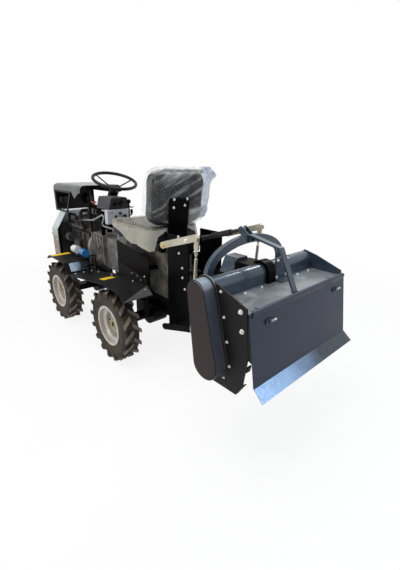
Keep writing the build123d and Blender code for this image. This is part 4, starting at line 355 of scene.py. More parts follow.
finishes["zinc"] = plated("zinc", (0.47, 0.455, 0.38), (0.34, 0.31, 0.22), 0.22, 0.8)
finishes["bolt_zinc"] = plated("bolt_zinc", (0.74, 0.74, 0.72), (0.60, 0.58, 0.52), 0.30, 0.35)
finishes["brass"] = plated("brass", (0.62, 0.50, 0.24), (0.45, 0.34, 0.16), 0.25, 0.8)
finishes["galvanised"] = spangled("galvanised", (0.20, 0.29, 0.42), (0.12, 0.17, 0.24), 0.24)
finishes["dark_casting"] = casting("dark_casting", (0.010, 0.010, 0.010), (0.080, 0.072, 0.060), 0.40, 0.3)
finishes["rear_casting"] = casting("rear_casting", (0.045, 0.041, 0.034), (0.19, 0.175, 0.145), 0.45, 0.3)
finishes["alloy_casting"] = casting("alloy_casting", (0.13, 0.128, 0.118), (0.30, 0.295, 0.275), 0.36, 0.5)
finishes["radiator_fins"] = casting("radiator_fins", (0.008, 0.008, 0.009), (0.03, 0.03, 0.032), 0.45, 0.3)
print("metals done")

# %% [markdown]
# ## A surround that changes colour on its way down
# The steel surround of the radiator is painted bright above, a painted highlight where the light falls on it, and
# warm brown below, partly a painted reflection of the ground and partly settled dust. Two finishes with a border
# would look like two pieces, so one finish blends its colours by height.

# %% Radiator surround
def surround_steel():
    finish = Finish("surround_steel")
    height = finish.part(finish.place(), 2)
    stains = finish.cloud(9.0, 5.0, 0.6)
    # low: share of the warm brown below, part painted reflection of the ground and part dust; the pale colour above is
    # a painted highlight
    low = (0.82 - height + stains * 0.16).above(0.0, 0.16)
    return finish.close(
        Base_Color=finish.blend(low, (0.56, 0.63, 0.64), (0.19, 0.145, 0.11)),
        Roughness=stains * 0.2 + 0.22,
        Metallic=0.55,
        Normal=finish.bump(stains, 0.1, 0.002),
    )


finishes["surround_steel"] = surround_steel()
print("surround done")

# %% [markdown]
# ## Rims and tyres
# A rim is cream enamel around a brassy hub, and dust lies in its grooves. Tyre rubber is brown with dried
# soil on its sidewall, and its lugs are worn paler at their tops. The distance from the axle tells these
# zones apart. Generated coordinates run from 0 to 1 across a wheel, so one finish fits all four wheels.

# %% Distance from the axle
def reach_of(finish):
    """Distance from the wheel's axis, where half the wheel's box is 0.5."""
    box_place = finish.place("Generated")
    fore = finish.part(box_place, 0) - 0.5
    height = finish.part(box_place, 2) - 0.5
    return (fore * fore + height * height) ** 0.5


def rim_enamel():
    finish = Finish("rim_enamel")
    reach = reach_of(finish)
    dust = finish.cloud(16.0, 6.0, 0.65).above(0.46, 0.3) * 0.5
    ring = 1 - ((reach - 0.315).size() * 60.0).above(0.0, 1.0)
    enamel = finish.blend(dust + ring * 0.7, (0.53, 0.50, 0.455), (0.22, 0.17, 0.12))
    hub = 1 - reach.above(0.155, 0.012)
    return finish.close(
        Base_Color=finish.blend(hub, enamel, (0.36, 0.29, 0.17)),
        Roughness=dust * 0.4 + 0.30,
        Metallic=hub * 0.4 + 0.3,
    )


def tread_rubber():
    finish = Finish("tread_rubber")
    reach = reach_of(finish)
    soil = finish.cloud(16.0, 6.0, 0.65)
    fine = finish.cloud(260.0, 3.0)
    worn = reach.above(0.476, 0.012)
    sidewall = finish.blend(soil.above(0.38, 0.3), (0.013, 0.011, 0.0095), (0.062, 0.044, 0.030))
    crown = finish.blend(soil.above(0.4, 0.3), (0.11, 0.098, 0.086), (0.22, 0.195, 0.165))
    return finish.close(
        Base_Color=finish.blend(worn, sidewall, crown),
        Roughness=soil * 0.2 + 0.62,
        Specular_IOR_Level=0.3,
        Normal=finish.bump(fine + soil, 0.18, 0.002),
    )


finishes["rim_paint"] = rim_enamel()
finishes["tyre"] = tread_rubber()
print("rims and rubber done")

# %% [markdown]
# ## A blade that is bright at one end
# The galvanised strip under the flap is bright blue at its left end, a painted reflection of the sky, and painted
# dark towards the right, a painted shade. One value along the tiller's width blends the two, and the spangle shows in
# both.

# %% Blade
def blade_finish():
    finish = Finish("blade_sheet")
    along = finish.part(finish.place(), 1)
    cells = finish.add("ShaderNodeTexVoronoi", inputs={"Vector": finish.place(), "Scale": 70.0}, output=1)
    tone = finish.part(cells, 0)
    cloudy = finish.cloud(4.0, 4.0)
    # painted shade towards the right end; the bright blue colour is a painted reflection of the sky
    dark = (cloudy * 0.3 + 0.01 - along).above(0.0, 0.34)
    bright = finish.blend(tone * 0.5 + cloudy * 0.4, (0.31, 0.46, 0.70), (0.19, 0.29, 0.46))
    shaded_blade = finish.blend(tone * 0.5 + cloudy * 0.4, (0.035, 0.045, 0.055), (0.07, 0.09, 0.11))
    return finish.close(
        Base_Color=finish.blend(dark, bright, shaded_blade),
        Roughness=tone * 0.12 + 0.30,
        Metallic=0.6,
    )


finishes["blade_sheet"] = blade_finish()
print("blade done")

# %% [markdown]
# ## Plastics
# Moulded plastic has a fine grain in its skin and shines a little more where hands have rubbed it.

# %% Plastics
def moulded(name, colour, tint, gloss, coat=0.0, sheen=0.5):
    finish = Finish(name)
    grain = finish.cloud(420.0, 2.0)
    handled = finish.cloud(12.0, 4.0)
    return finish.close(
        Base_Color=finish.blend(handled.above(0.45, 0.3), colour, tint),
        Roughness=handled * 0.2 + gloss,
        Coat_Weight=coat,
        Specular_IOR_Level=sheen,
        Normal=finish.bump(grain, 0.05, 0.0005),
    )


PLASTICS = {
    # slot: (colour, handled colour, roughness, coat, specular level)
    "black_plastic": ((0.006, 0.006, 0.0065), (0.022, 0.022, 0.023), 0.32, 0.0, 0.15),
    "gloss_black": ((0.005, 0.005, 0.0055), (0.015, 0.015, 0.015), 0.12, 0.1, 0.2),
    "blue_plastic": ((0.006, 0.125, 0.33), (0.02, 0.18, 0.40), 0.15, 0.5, 0.5),
    "vinyl": ((0.010, 0.010, 0.013), (0.026, 0.026, 0.033), 0.34, 0.0, 0.18),
    "dash_grey": ((0.030, 0.031, 0.034), (0.060, 0.061, 0.064), 0.34, 0.0, 0.25),
    "silver_conduit": ((0.30, 0.32, 0.36), (0.20, 0.21, 0.24), 0.28, 0.2, 0.5),
    "pale_plastic": ((0.70, 0.71, 0.70), (0.55, 0.55, 0.54), 0.30, 0.2, 0.5),
    "red_plastic": ((0.34, 0.022, 0.014), (0.24, 0.02, 0.014), 0.30, 0.2, 0.5),
    "green_plastic": ((0.03, 0.20, 0.08), (0.02, 0.14, 0.06), 0.30, 0.2, 0.5),
    "hazard_yellow": ((0.90, 0.60, 0.010), (0.72, 0.46, 0.02), 0.32, 0.1, 0.4),
    "lamp_lens": ((0.62, 0.64, 0.66), (0.48, 0.50, 0.52), 0.08, 0.6, 0.5),
}
for slot, row in PLASTICS.items():
    finishes[slot] = moulded(slot, *row)
print("plastics", len(PLASTICS))

# %% [markdown]
# ## A riser that mirrors the sky
# The short riser of each platform is polished, so its outer end throws back the sky and its inner end the
# dark engine. Both reflections are painted into its colour: the distance from the tractor's middle plane blends
# a pale blue painted reflection of the sky and a dark painted reflection of the engine.

# %% Riser
def riser_gloss():
    finish = Finish("riser_gloss")
    outward = finish.part(finish.place(), 1).size()
    ragged = finish.cloud(26.0, 5.0, 0.7)
    # painted reflection: pale blue sky at the outer end, dark engine at the inner end
    outer = (outward + ragged * 0.10 - 0.355).above(0.0, 0.07)
    return finish.close(
        Base_Color=finish.blend(outer, (0.022, 0.027, 0.038), (0.34, 0.45, 0.56)),
        Roughness=ragged * 0.2 + 0.14,
        Specular_IOR_Level=0.3,
    )


finishes["riser_gloss"] = riser_gloss()
print("riser done")

# %% [markdown]
# ## Dress the drawn pieces
# The record names a finish for each piece, and a few pieces get one that fits them better. Some pieces are
# drawn in one with a neighbour of another colour: the wiring conduit with the black hoses, the pins of the
# latches with the flap, the pale caps with the fuel filters. There the faces of the second thing are picked
# by the place of their middle, and they take a second material slot.

# %% Put a finish on every drawn piece
slot_of = {row["node"]: row["material_slot"] for row in frame["record"]["subparts"]}
for node, piece in DRAWN.items():
    piece.data.materials.clear()
    piece.data.materials.append(finishes[slot_of[node]])
for node, finish in (("radiator_surround", "surround_steel"), ("top_link", "link_paint"), ("flap_blade", "blade_sheet"),
                     ("tiller_deck", "deck_paint"), ("rear_gearbox", "rear_casting"), ("flap_board", "flap_paint")):
    DRAWN[node].data.materials[0] = finishes[finish]


def second_finish(node, finish, chosen):
    """Faces of a drawn piece that a test on their middle picks take another finish."""
    piece = DRAWN[node]
    piece.data.materials.append(finishes[finish])
    slot = len(piece.data.materials) - 1
    picked = 0
    for face in piece.data.polygons:
        middle = piece.matrix_world @ face.center
        if chosen(middle.x - AXLE_X, middle.y, middle.z):
            face.material_index = slot
            picked += 1
    print(node, finish, "faces", picked)


FILTER_Y, FILTER_Z, FILTER_REACH, FILTER_CAP_X = 0.255, 0.720, 0.0385, 0.93
BOARD_TOP_X, BOARD_TOP_Z, BOARD_LEAN, OFF_BOARD = -1.4085, 0.862, 0.152, 0.002
LATCH_PINS = [(0.243, 0.281), (-0.437, -0.399)]
LATCH_LOW, LATCH_HIGH = 0.79, 0.84
FENDER_FOLD_X, FENDER_FOLD_Z = 0.13, 0.62
CONDUIT_END_X = 0.93
PLATE_MIDDLE_Y = 0.2


def off_filter(x, y, z):
    """The filters' bracket, which stands outside their round bodies."""
    return math.hypot(y - FILTER_Y, z - FILTER_Z) > FILTER_REACH


def on_latch(x, y, z):
    """The two latch pins, which stand off the leaning board."""
    board = BOARD_TOP_X - (BOARD_TOP_Z - z) * BOARD_LEAN
    in_row = any(low < y < high for low, high in LATCH_PINS)
    return LATCH_LOW < z < LATCH_HIGH and x < board - OFF_BOARD and in_row


second_finish("hoses", "silver_conduit", lambda x, y, z: x < CONDUIT_END_X)
second_finish("end_plates", "plate_paint", lambda x, y, z: y > PLATE_MIDDLE_Y)
second_finish("fuel_filters", "pale_plastic", lambda x, y, z: x > FILTER_CAP_X)
second_finish("fuel_filters", "black_paint", off_filter)
second_finish("flap_board", "bolt_zinc", on_latch)
for side in ("left", "right"):
    second_finish("platform_" + side, "fender_paint", lambda x, y, z: x < FENDER_FOLD_X and z < FENDER_FOLD_Z)
print("dressed", len(slot_of))

# %% [markdown]
# ## A bench for small parts
# Bolts, caps and stripes are many and tiny. One object each would fill the file with names, so a bench
# collects all the small forms that share a body and a finish into one mesh. Each form is built from a few
# rings or corners, which is lighter than joining primitives. A bolt must sit on the sheet that it holds,
# so its place is found by sending a ray at the drawn piece instead of being typed in.

# %% The bench
class Bench:
    """Small forms of one finish, on one body."""

    def __init__(self, name, body, finish):
        self.name = name
        self.body = body
        self.finish = finish
        self.mesh = bmesh.new()

    def turned(self, place, along, profile, sides=14, smooth=False):
        """Rings about an axis: profile holds a distance along it and a radius for each."""
        along = along.normalized()
        across = along.orthogonal().normalized()
        other = along.cross(across)
        rings = []
        for distance, radius in profile:
            ring = []
            for step in range(sides):
                angle = 2 * math.pi * step / sides
                spoke = across * math.cos(angle) + other * math.sin(angle)
                ring.append(self.mesh.verts.new(place + along * distance + spoke * radius))
            rings.append(ring)
        for low, high in zip(rings, rings[1:]):
            bridged(self.mesh, low, high, smooth)
        self.mesh.faces.new(tuple(reversed(rings[0])))
        self.mesh.faces.new(tuple(rings[-1]))

    def bolt(self, place, along, size):
        """Washer and six-sided head; size is the washer's radius."""
        self.turned(place, along, [(-0.001, size), (size * 0.2, size), (size * 0.24, size * 0.94)])
        head = size * 0.66
        self.turned(place, along, [(size * 0.2, head), (size * 0.78, head), (size * 0.9, head * 0.84)], 6)

    def slab(self, corners, depth):
        """Flat plate with a thickness vector."""
        low = [self.mesh.verts.new(corner) for corner in corners]
        high = [self.mesh.verts.new(corner + depth) for corner in corners]
        self.mesh.faces.new(tuple(reversed(low)))
        self.mesh.faces.new(tuple(high))
        bridged(self.mesh, low, high)

    def done(self):
        form = shown(self.name, self.mesh, self.finish)
        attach(form, self.body)
        print(self.name, "faces", len(form.data.polygons))


skins = {}


def rays_of(form):
    """A form, ready for rays."""
    corners = [form.matrix_world @ vertex.co for vertex in form.data.vertices]
    return BVHTree.FromPolygons(corners, [tuple(face.vertices) for face in form.data.polygons])


def skin(node):
    """A drawn piece, ready for rays, worked out once."""
    if node not in skins:
        bpy.context.view_layer.update()
        skins[node] = rays_of(DRAWN[node])
    return skins[node]


def landed(nodes, start, toward, reach=0.4):
    """Where a ray first meets one of the pieces, or None."""
    best = None
    for node in nodes:
        spot, normal, index, distance = skin(node).ray_cast(start, toward, reach)
        if spot is not None and (best is None or distance < best[1]):
            best = (spot, distance)
    if best is None:
        print("no surface", nodes, tuple(round(value, 3) for value in start))
        return None
    return best[0]


print("bench ready")

# %% [markdown]
# ## Bolts
# Bright zinc bolts pick out every joint of the tiller and of the rear frame, and they are among the first
# things that the eye finds. Each row below names the pieces that may carry the bolt, the side that it
# comes from, the size of its washer, and its places. A None stands for the measure that the ray finds.

# %% Rows of bolts
POST_HOLES = [(-0.557, None, 0.965), (-0.592, None, 0.867), (-0.594, None, 0.797), (-0.619, None, 0.720)]
SURROUND_HOLES = [(1.47, None, 0.62), (1.52, None, 0.62), (1.47, None, 0.86), (1.47, None, 0.74)]
BOLT_ROWS = [
    # bench, body, pieces, start side, washer radius, places
    ("case_bolts", "tiller", ("end_plates", "side_case"), (0, 0.60, 0), 0.0085,
     [(-1.220, None, 0.946), (-1.247, None, 0.816), (-1.274, None, 0.687), (-1.298, None, 0.554),
      (-1.262, None, 0.470)]),
    ("flap_hinge_bolts", "tiller", ("end_plates",), (0, 0.60, 0), 0.0135,
     [(-1.353, None, 0.881), (-1.368, None, 0.783)]),
    ("deck_bolts", "tiller", ("tiller_deck", "cross_tube"), (0, 0, 1.05), 0.0085,
     [(-1.200, 0.218, None), (-1.197, 0.067, None), (-1.200, -0.300, None), (-1.200, -0.430, None)]),
    ("gearbox_plate_bolts", "tiller", ("hitch_arch", "tiller_gearbox", "cross_tube"), (-1.40, 0, 0), 0.0100,
     [(None, -0.100, 0.999), (None, -0.100, 0.893), (None, -0.200, 0.893), (None, -0.200, 0.999)]),
    ("case_front_bolts", "tiller", ("side_case", "end_plates"), (-0.90, 0, 0), 0.0105,
     [(None, 0.470, 0.800), (None, 0.470, 0.745), (None, 0.470, 0.670)]),
    ("right_plate_bolts", "tiller", ("end_plates",), (0, -0.62, 0), 0.0100,
     [(-1.353, None, 0.881), (-1.368, None, 0.783), (-1.180, None, 0.900), (-1.200, None, 0.620),
      (-1.080, None, 0.760)]),
    ("post_bolts", "chassis", ("rear_posts",), (0, 0.40, 0), 0.0090, [(-0.554, None, 1.078)] + POST_HOLES),
    ("right_post_bolts", "chassis", ("rear_posts",), (0, -0.40, 0), 0.0090, POST_HOLES),
    ("back_bracket_bolts", "chassis", ("seat_frame",), (-0.60, 0, 0), 0.0100,
     [(None, -0.045, 1.256), (None, 0.057, 1.246), (None, -0.064, 1.302), (None, 0.056, 1.302)]),
    ("side_plate_bolts", "chassis", ("side_plates",), (0, 0.40, 0), 0.0075,
     [(-0.001, None, 0.698), (-0.082, None, 0.695), (-0.134, None, 0.672), (-0.182, None, 0.712),
      (0.080, None, 0.690), (0.160, None, 0.700)]),
    ("right_side_plate_bolts", "chassis", ("side_plates",), (0, -0.40, 0), 0.0075,
     [(-0.001, None, 0.698), (-0.082, None, 0.695), (-0.182, None, 0.712), (0.080, None, 0.690)]),
    ("platform_bolts", "chassis", ("platform_left", "platform_right"), (0, 0, 0.90), 0.0070,
     [(x, side * y, None) for side in (1, -1) for x, y in
      [(0.700, 0.240), (0.700, 0.320), (0.700, 0.400), (-0.060, 0.240), (-0.240, 0.240), (1.020, 0.240),
       (0.300, 0.235), (0.560, 0.235)]]),
    ("surround_bolts", "chassis", ("radiator_surround",), (0, 0.40, 0), 0.0070, SURROUND_HOLES),
    ("right_surround_bolts", "chassis", ("radiator_surround",), (0, -0.40, 0), 0.0070, SURROUND_HOLES),
]
MIDDLES = {"tiller": (-1.15, 0, 0.7), "chassis": (0.2, 0, 0.5)}
for name, body, pieces, side, size, places in BOLT_ROWS:
    bench = Bench(name, body, "bolt_zinc")
    axis = [abs(value) > 0 for value in side].index(True)
    toward = Vector((0, 0, 0))
    toward[axis] = -1.0 if side[axis] > MIDDLES[body][axis] else 1.0
    for place in places:
        start = at(*[side[index] if value is None else value for index, value in enumerate(place)])
        spot = landed(pieces, start, toward, 0.8)
        if spot is not None:
            bench.bolt(spot, -toward, size)
    bench.done()

# %% [markdown]
# ## Wheel bolts and valves
# Five nuts hold each rim to its hub, and a short valve stem stands near the rim's edge. Both turn with the
# wheel, so they ride on the wheel's own body.

# %% Wheel bolts and valves
WHEELS = {"front_left": (1.05, 1), "front_right": (1.05, -1), "rear_left": (0.0, 1), "rear_right": (0.0, -1)}
NUTS, NUT_CIRCLE, NUT_WASHER, FIRST_NUT = 5, 0.041, 0.0085, 18
AXLE_Z, VALVE_REACH, BESIDE = 0.3, 0.10, 0.6
VALVE = [(-0.001, 0.005), (0.004, 0.005), (0.006, 0.003), (0.022, 0.003)]
for corner, (wheel_x, side) in WHEELS.items():
    bench = Bench("wheel_nuts_" + corner, "wheel_" + corner, "brass")
    stem = Bench("valve_" + corner, "wheel_" + corner, "black_plastic")
    rim = ("rim_" + corner,)
    for step in range(NUTS):
        angle = math.radians(360 / NUTS * step + FIRST_NUT)
        start = at(wheel_x + math.cos(angle) * NUT_CIRCLE, side * BESIDE, AXLE_Z + math.sin(angle) * NUT_CIRCLE)
        spot = landed(rim, start, LEFTWARD * -side)
        if spot is not None:
            bench.bolt(spot, LEFTWARD * side, NUT_WASHER)
    spot = landed(rim, at(wheel_x + VALVE_REACH, side * BESIDE, AXLE_Z), LEFTWARD * -side)
    if spot is not None:
        stem.turned(spot, LEFTWARD * side, VALVE, 8)
    bench.done()
    stem.done()

# %% [markdown]
# ## Stickers and stripes that follow a sheet
# Yellow hazard stripes mark the edges of both platforms, and the riser between them carries a strip in the
# riser's finish, whose pale outer end is a painted reflection of the sky. A stripe is a thin film on folded
# sheet. We send a grid of rays at the platform and lay the stripe's corners where they land, a hair above
# the paint, so that it follows every fold.

# %% Stripes on the platforms
def laid_strip(bench, pieces, corner, first, second, toward, steps, lift=0.0006):
    """A thin strip, laid on the pieces over the parallelogram that two edges span."""
    above = []
    for row in range(steps[0] + 1):
        starts = [corner + first * (row / steps[0]) + second * (column / steps[1]) for column in range(steps[1] + 1)]
        line = [landed(pieces, start, toward) for start in starts]
        above.append([bench.mesh.verts.new(spot - toward * lift) if spot else None for spot in line])
    for row in range(steps[0]):
        for column in range(steps[1]):
            corners = (above[row][column], above[row + 1][column], above[row + 1][column + 1], above[row][column + 1])
            if all(corners):
                bench.mesh.faces.new(corners)


stripes = Bench("hazard_stripes", "chassis", "hazard_yellow")
# strips in the riser's finish, whose colour is a painted reflection of the sky
reflection_strips = Bench("riser_reflection_strips", "chassis", "riser_gloss")
STRIPS = [
    # bench, rear inner corner, length, width, grid
    (stripes, (1.130, 0.258), 0.085, 0.190, (4, 6)),
    (stripes, (0.165, 0.272), 0.085, 0.110, (3, 4)),
    (reflection_strips, (0.760, 0.225), 0.040, 0.190, (2, 8)),
]
OVER_PLATFORM = 0.9
for side, hand in ((1, "left"), (-1, "right")):
    for bench, (x, y), length, width, grid in STRIPS:
        corner = at(x, side * y, OVER_PLATFORM)
        laid_strip(bench, ("platform_" + hand,), corner, FORWARD * length, LEFTWARD * side * width, -UPWARD, grid)
stripes.done()
reflection_strips.done()

# %% [markdown]
# ## Seals, a rolled edge, mats and a screen
# Daylight would shine through a few gaps that are closed on the real machine. A rubber strip hangs under
# the rear edge of the deck, a wedge of rubber stands between each end plate and the flap, a mat closes the
# slit beside the gearbox, and a dark insect screen lies behind the bars of the grille. The top edge of the
# flap is rolled round its hinge. The roll turns with the flap about that same line, so it clears the deck.

# %% Seals, roll, mats and screen
def plate_across(bench, x, y0, y1, z0, z1, depth):
    """An upright plate that stands across the tractor."""
    bench.slab([at(x, y0, z0), at(x, y1, z0), at(x, y1, z1), at(x, y0, z1)], FORWARD * depth)


SEAL_X, SEAL_FOOT_Z, SEAL_T = -1.3835, 0.790, 0.003
DECK_RIGHT_Y, DECK_LEFT_Y = -0.500, 0.420
WEDGE = [(-1.3900, 0.862), (-1.4010, 0.850), (-1.4330, 0.640), (-1.3900, 0.640)]
seals = Bench("flap_seals", "tiller", "black_plastic")
under_deck = landed(("tiller_deck",), at(-1.384, 0.10, 0.70), UPWARD)
deck_z = under_deck.z if under_deck is not None else 0.86
plate_across(seals, SEAL_X, DECK_RIGHT_Y, DECK_LEFT_Y, SEAL_FOOT_Z, deck_z, SEAL_T)
for y in (0.4265, -0.5105):
    seals.slab([at(x, y, z) for x, z in WEDGE], LEFTWARD * SEAL_T)
seals.done()

HINGE_X, HINGE_Z = -1.405, 0.882
ROLL_OUTSIDE, ROLL_INSIDE, ROLL_RIGHT_Y, ROLL_LENGTH = 0.0136, 0.0118, -0.495, 0.912
ROLL_FOOT = [(-1.4118, 0.861), (-1.4098, 0.861)]
turns = [math.radians(degrees) for degrees in range(52, 192, 10)]


def on_roll(turn, reach):
    return HINGE_X + math.cos(turn) * reach, HINGE_Z + math.sin(turn) * reach


profile = [on_roll(turn, ROLL_OUTSIDE) for turn in turns] + ROLL_FOOT
profile += [on_roll(turn, ROLL_INSIDE) for turn in reversed(turns)]
roll = Bench("flap_roll", "flap", "flap_paint")
roll.slab([at(x, ROLL_RIGHT_Y, z) for x, z in profile], LEFTWARD * ROLL_LENGTH)
roll.done()

MAT = [(0.20, 0.185), (0.40, 0.185), (0.40, 0.262), (0.20, 0.262)]
MAT_DROP, MAT_T = 0.0075, 0.003
mats = Bench("platform_mats", "chassis", "black_plastic")
for side, hand in ((1, "left"), (-1, "right")):
    edge = landed(("platform_" + hand,), at(0.30, side * 0.262, OVER_PLATFORM), -UPWARD)
    if edge is not None:
        mats.slab([at(x, side * y, edge.z - MAT_DROP) for x, y in MAT], UPWARD * MAT_T)
mats.done()

screen = Bench("grille_screen", "hood", "black_plastic")
plate_across(screen, 1.484, -0.205, 0.205, 1.066, 1.279, -0.0025)
screen.done()
LAMP_BOWL = [(0.0, 0.058), (0.020, 0.058), (0.060, 0.040), (0.085, 0.038)]
housings = Bench("lamp_housings", "hood", "gloss_black")
for side in (1, -1):
    housings.turned(at(1.483, side * 0.135, 1.171), -FORWARD, LAMP_BOWL, 20)
housings.done()

# %% [markdown]
# ## Turnbuckles on the lift rods
# Each lift rod is a threaded bar with a thick sleeve and two nuts, by which its length is set. The sleeve
# follows the drawn rod, whose line is read from the drawn piece at two heights.

# %% Turnbuckles
def rod_middle(node, side, height):
    """Middle of a drawn rod near one height."""
    piece = DRAWN[node]
    spots = [piece.matrix_world @ vertex.co for vertex in piece.data.vertices]
    near = sorted((spot for spot in spots if spot.y * side > 0), key=lambda spot: abs(spot.z - height))[:24]
    return sum(near, Vector()) / len(near)


ROD_TOP_Z, ROD_FOOT_Z = 1.158, 0.520
TURNBUCKLE = [
    # share of the way down the rod, profile, sides
    (0.17, [(0.0, 0.0105), (0.016, 0.0105)], 6),
    (0.22, [(0.0, 0.0075), (0.004, 0.0100), (0.150, 0.0100), (0.154, 0.0075)], 12),
    (0.49, [(0.0, 0.0120), (0.018, 0.0120)], 6),
    (0.53, [(0.0, 0.0075), (0.004, 0.0090), (0.150, 0.0090), (0.154, 0.0075)], 12),
    (0.80, [(0.0, 0.0115), (0.030, 0.0115), (0.034, 0.008)], 12),
]
sleeves = Bench("lift_rod_sleeves", "lift_rods", "zinc")
for side in (1, -1):
    high = rod_middle("lift_rods", side, ROD_TOP_Z)
    line = rod_middle("lift_rods", side, ROD_FOOT_Z) - high
    for share, profile, sides in TURNBUCKLE:
        sleeves.turned(high + line * share, line, profile, sides)
sleeves.done()

# %% [markdown]
# ## Turned fittings, wherever a ray lands
# Pins, caps, knobs and lamps are all turned forms that stand on a drawn surface. One function finds the
# surface with a ray and stands the form on it, so each fitting is a line of places and a short table of
# distances and radii along its axis.

# %% Turned fittings, and the pins of the radiator surround
def fitted(name, body, finish, piece, forms, crown=None):
    """Turned forms on one drawn piece; crown adds to each of them."""
    bench = Bench(name, body, finish)
    for start, way, profile, sides in forms:
        spot = landed((piece,), at(*start), -way)
        if spot is not None:
            bench.turned(spot, way, profile, sides)
            if crown:
                crown(bench, spot)
    bench.done()


HOOD_PIN = [(-0.001, 0.006), (0.012, 0.006), (0.013, 0.013), (0.024, 0.013)]
fitted("surround_pins", "chassis", "bolt_zinc", "radiator_surround",
       [((1.80, side * 0.262, z), FORWARD, HOOD_PIN, 14) for side in (1, -1) for z in (0.930, 0.800)])

# %% [markdown]
# ## A smaller dashboard pod
# The drawn dashboard is a plain wedge across the whole column. The real pod is narrower on the right and
# slopes down beside the column. It is built from one side profile, repeated and lowered from left to
# right, and it stands in for the drawn wedge.

# %% Dashboard pod
POD_LOW, POD_SLOPE, POD_RISE = 1.160, 0.063, 0.105
POD_REAR_X, POD_RIDGE_X, POD_BEVEL_X, POD_FRONT_X, POD_BEVEL = 0.425, 0.598, 0.606, 0.652, 0.008
POD_STATIONS = [
    # place across the tractor, height of the ridge
    (0.150, 1.256), (0.144, 1.265), (0.012, 1.265), (-0.002, 1.258), (-0.052, 1.190), (-0.056, 1.170),
]


def pod_ring(y, high):
    """The pod's side profile at one place across the tractor."""
    share = (high - POD_LOW) / POD_RISE
    return [at(POD_REAR_X, y, POD_LOW), at(POD_REAR_X - POD_SLOPE * share, y, high), at(POD_RIDGE_X, y, high),
            at(POD_BEVEL_X, y, high - POD_BEVEL), at(POD_FRONT_X, y, POD_LOW)]


pod_shape = bmesh.new()
loops = [[pod_shape.verts.new(corner) for corner in pod_ring(y, high)] for y, high in POD_STATIONS]
for first, second in zip(loops, loops[1:]):
    bridged(pod_shape, first, second)
pod_shape.faces.new(tuple(loops[0]))
pod_shape.faces.new(tuple(reversed(loops[-1])))
pod = shown("dashboard_pod", pod_shape, "dash_grey")
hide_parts("dashboard")
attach(pod, "chassis")
DIAL = [(-0.002, 0.024), (0.004, 0.024), (0.006, 0.021)]
dial = Bench("dashboard_dial", "chassis", "gloss_black")
for y in (0.105, 0.045):
    dial.turned(at(0.3935, y, 1.2125), Vector((-0.857, 0, -0.515)), DIAL, 20)
dial.done()
print("pod", len(pod.data.polygons))

# %% [markdown]
# ## Caps, knobs and handles
# A driver knows the tractor by the things that are touched: pale caps on the blue fuel filters, black knobs
# on the control box, a red pull on the air filter and brassy pins on the lift arms.

# %% Small fittings
def knob(radius, length):
    """Profile of a knob with a thinner neck."""
    return [(-0.001, radius * 0.5), (length * 0.3, radius * 0.5), (length * 0.34, radius), (length * 0.85, radius),
            (length, radius * 0.75)]


def pull_bar(bench, spot):
    """The flat bar on top of the air filter's pull."""
    outline = ((-0.042, -0.011), (0.042, -0.011), (0.042, 0.011), (-0.042, 0.011))
    bench.slab([spot + UPWARD * 0.018 + Vector((x, y, 0)) for x, y in outline], UPWARD * 0.014)


FILTER_CAP = [(-0.002, 0.018), (0.006, 0.018), (0.007, 0.013), (0.016, 0.013)]
ARM_PIN = [(-0.001, 0.020), (0.003, 0.020), (0.004, 0.011), (0.012, 0.011), (0.014, 0.008)]
ARM_PIN_END = [(-0.001, 0.012), (0.003, 0.012), (0.004, 0.008), (0.010, 0.008)]
fitted("fuel_filter_caps", "chassis", "pale_plastic", "fuel_filters",
       [((x, 0.255, 0.715), FORWARD, FILTER_CAP, 14) for x in (1.20, 1.07)])
fitted("control_knobs", "chassis", "gloss_black", "control_box",
       [((0.20, y, z), -FORWARD, knob(radius, length), 14) for y, z, radius, length in
        ((0.062, 1.129, 0.012, 0.022), (0.020, 1.100, 0.019, 0.026), (0.105, 1.105, 0.010, 0.018))])
fitted("control_lamps", "chassis", "red_plastic", "control_box",
       [((0.20, y, 1.138), -FORWARD, [(-0.001, 0.006), (0.003, 0.006), (0.005, 0.004)], 10) for y in (0.132, 0.152)])
fitted("air_filter_pull", "chassis", "red_plastic", "air_filter",
       [((0.900, 0.060, 1.35), UPWARD, [(-0.001, 0.008), (0.020, 0.008)], 10)], pull_bar)
fitted("air_filter_band", "chassis", "green_plastic", "air_filter",
       [((0.800, 0.045, 1.35), UPWARD, [(-0.001, 0.010), (0.008, 0.010), (0.010, 0.007)], 14)])
fitted("lift_arm_pins", "lift_arms", "brass", "lift_arms",
       [((-0.582, side * BESIDE, 1.045), LEFTWARD * side, ARM_PIN, 14) for side in (1, -1)])
fitted("lift_arm_pin_ends", "lift_arms", "bolt_zinc", "lift_arms",
       [((-0.809, side * BESIDE, 1.116), LEFTWARD * side, ARM_PIN_END, 14) for side in (1, -1)])

# %% [markdown]
# ## A padded seat
# The seat and its back are foam under vinyl. Foam is soft, so a drawn block with round corners looks like
# wood. We copy the drawn block, give it an even skin of small faces, and let the Cloth solver blow it up a
# little. The movement is capped, and it is held back wherever the pad touches the steel that carries it.

# %% Blow the pads up
SKIN_STEP, FOAM_PRESSURE, FOAM_FRAMES = 0.0065, 4.0, 18


def applied(form):
    """The form's modifiers become its mesh."""
    graph = bpy.context.evaluated_depsgraph_get()
    mesh = bpy.data.meshes.new_from_object(form.evaluated_get(graph))
    form.modifiers.clear()
    form.data = mesh
    return mesh


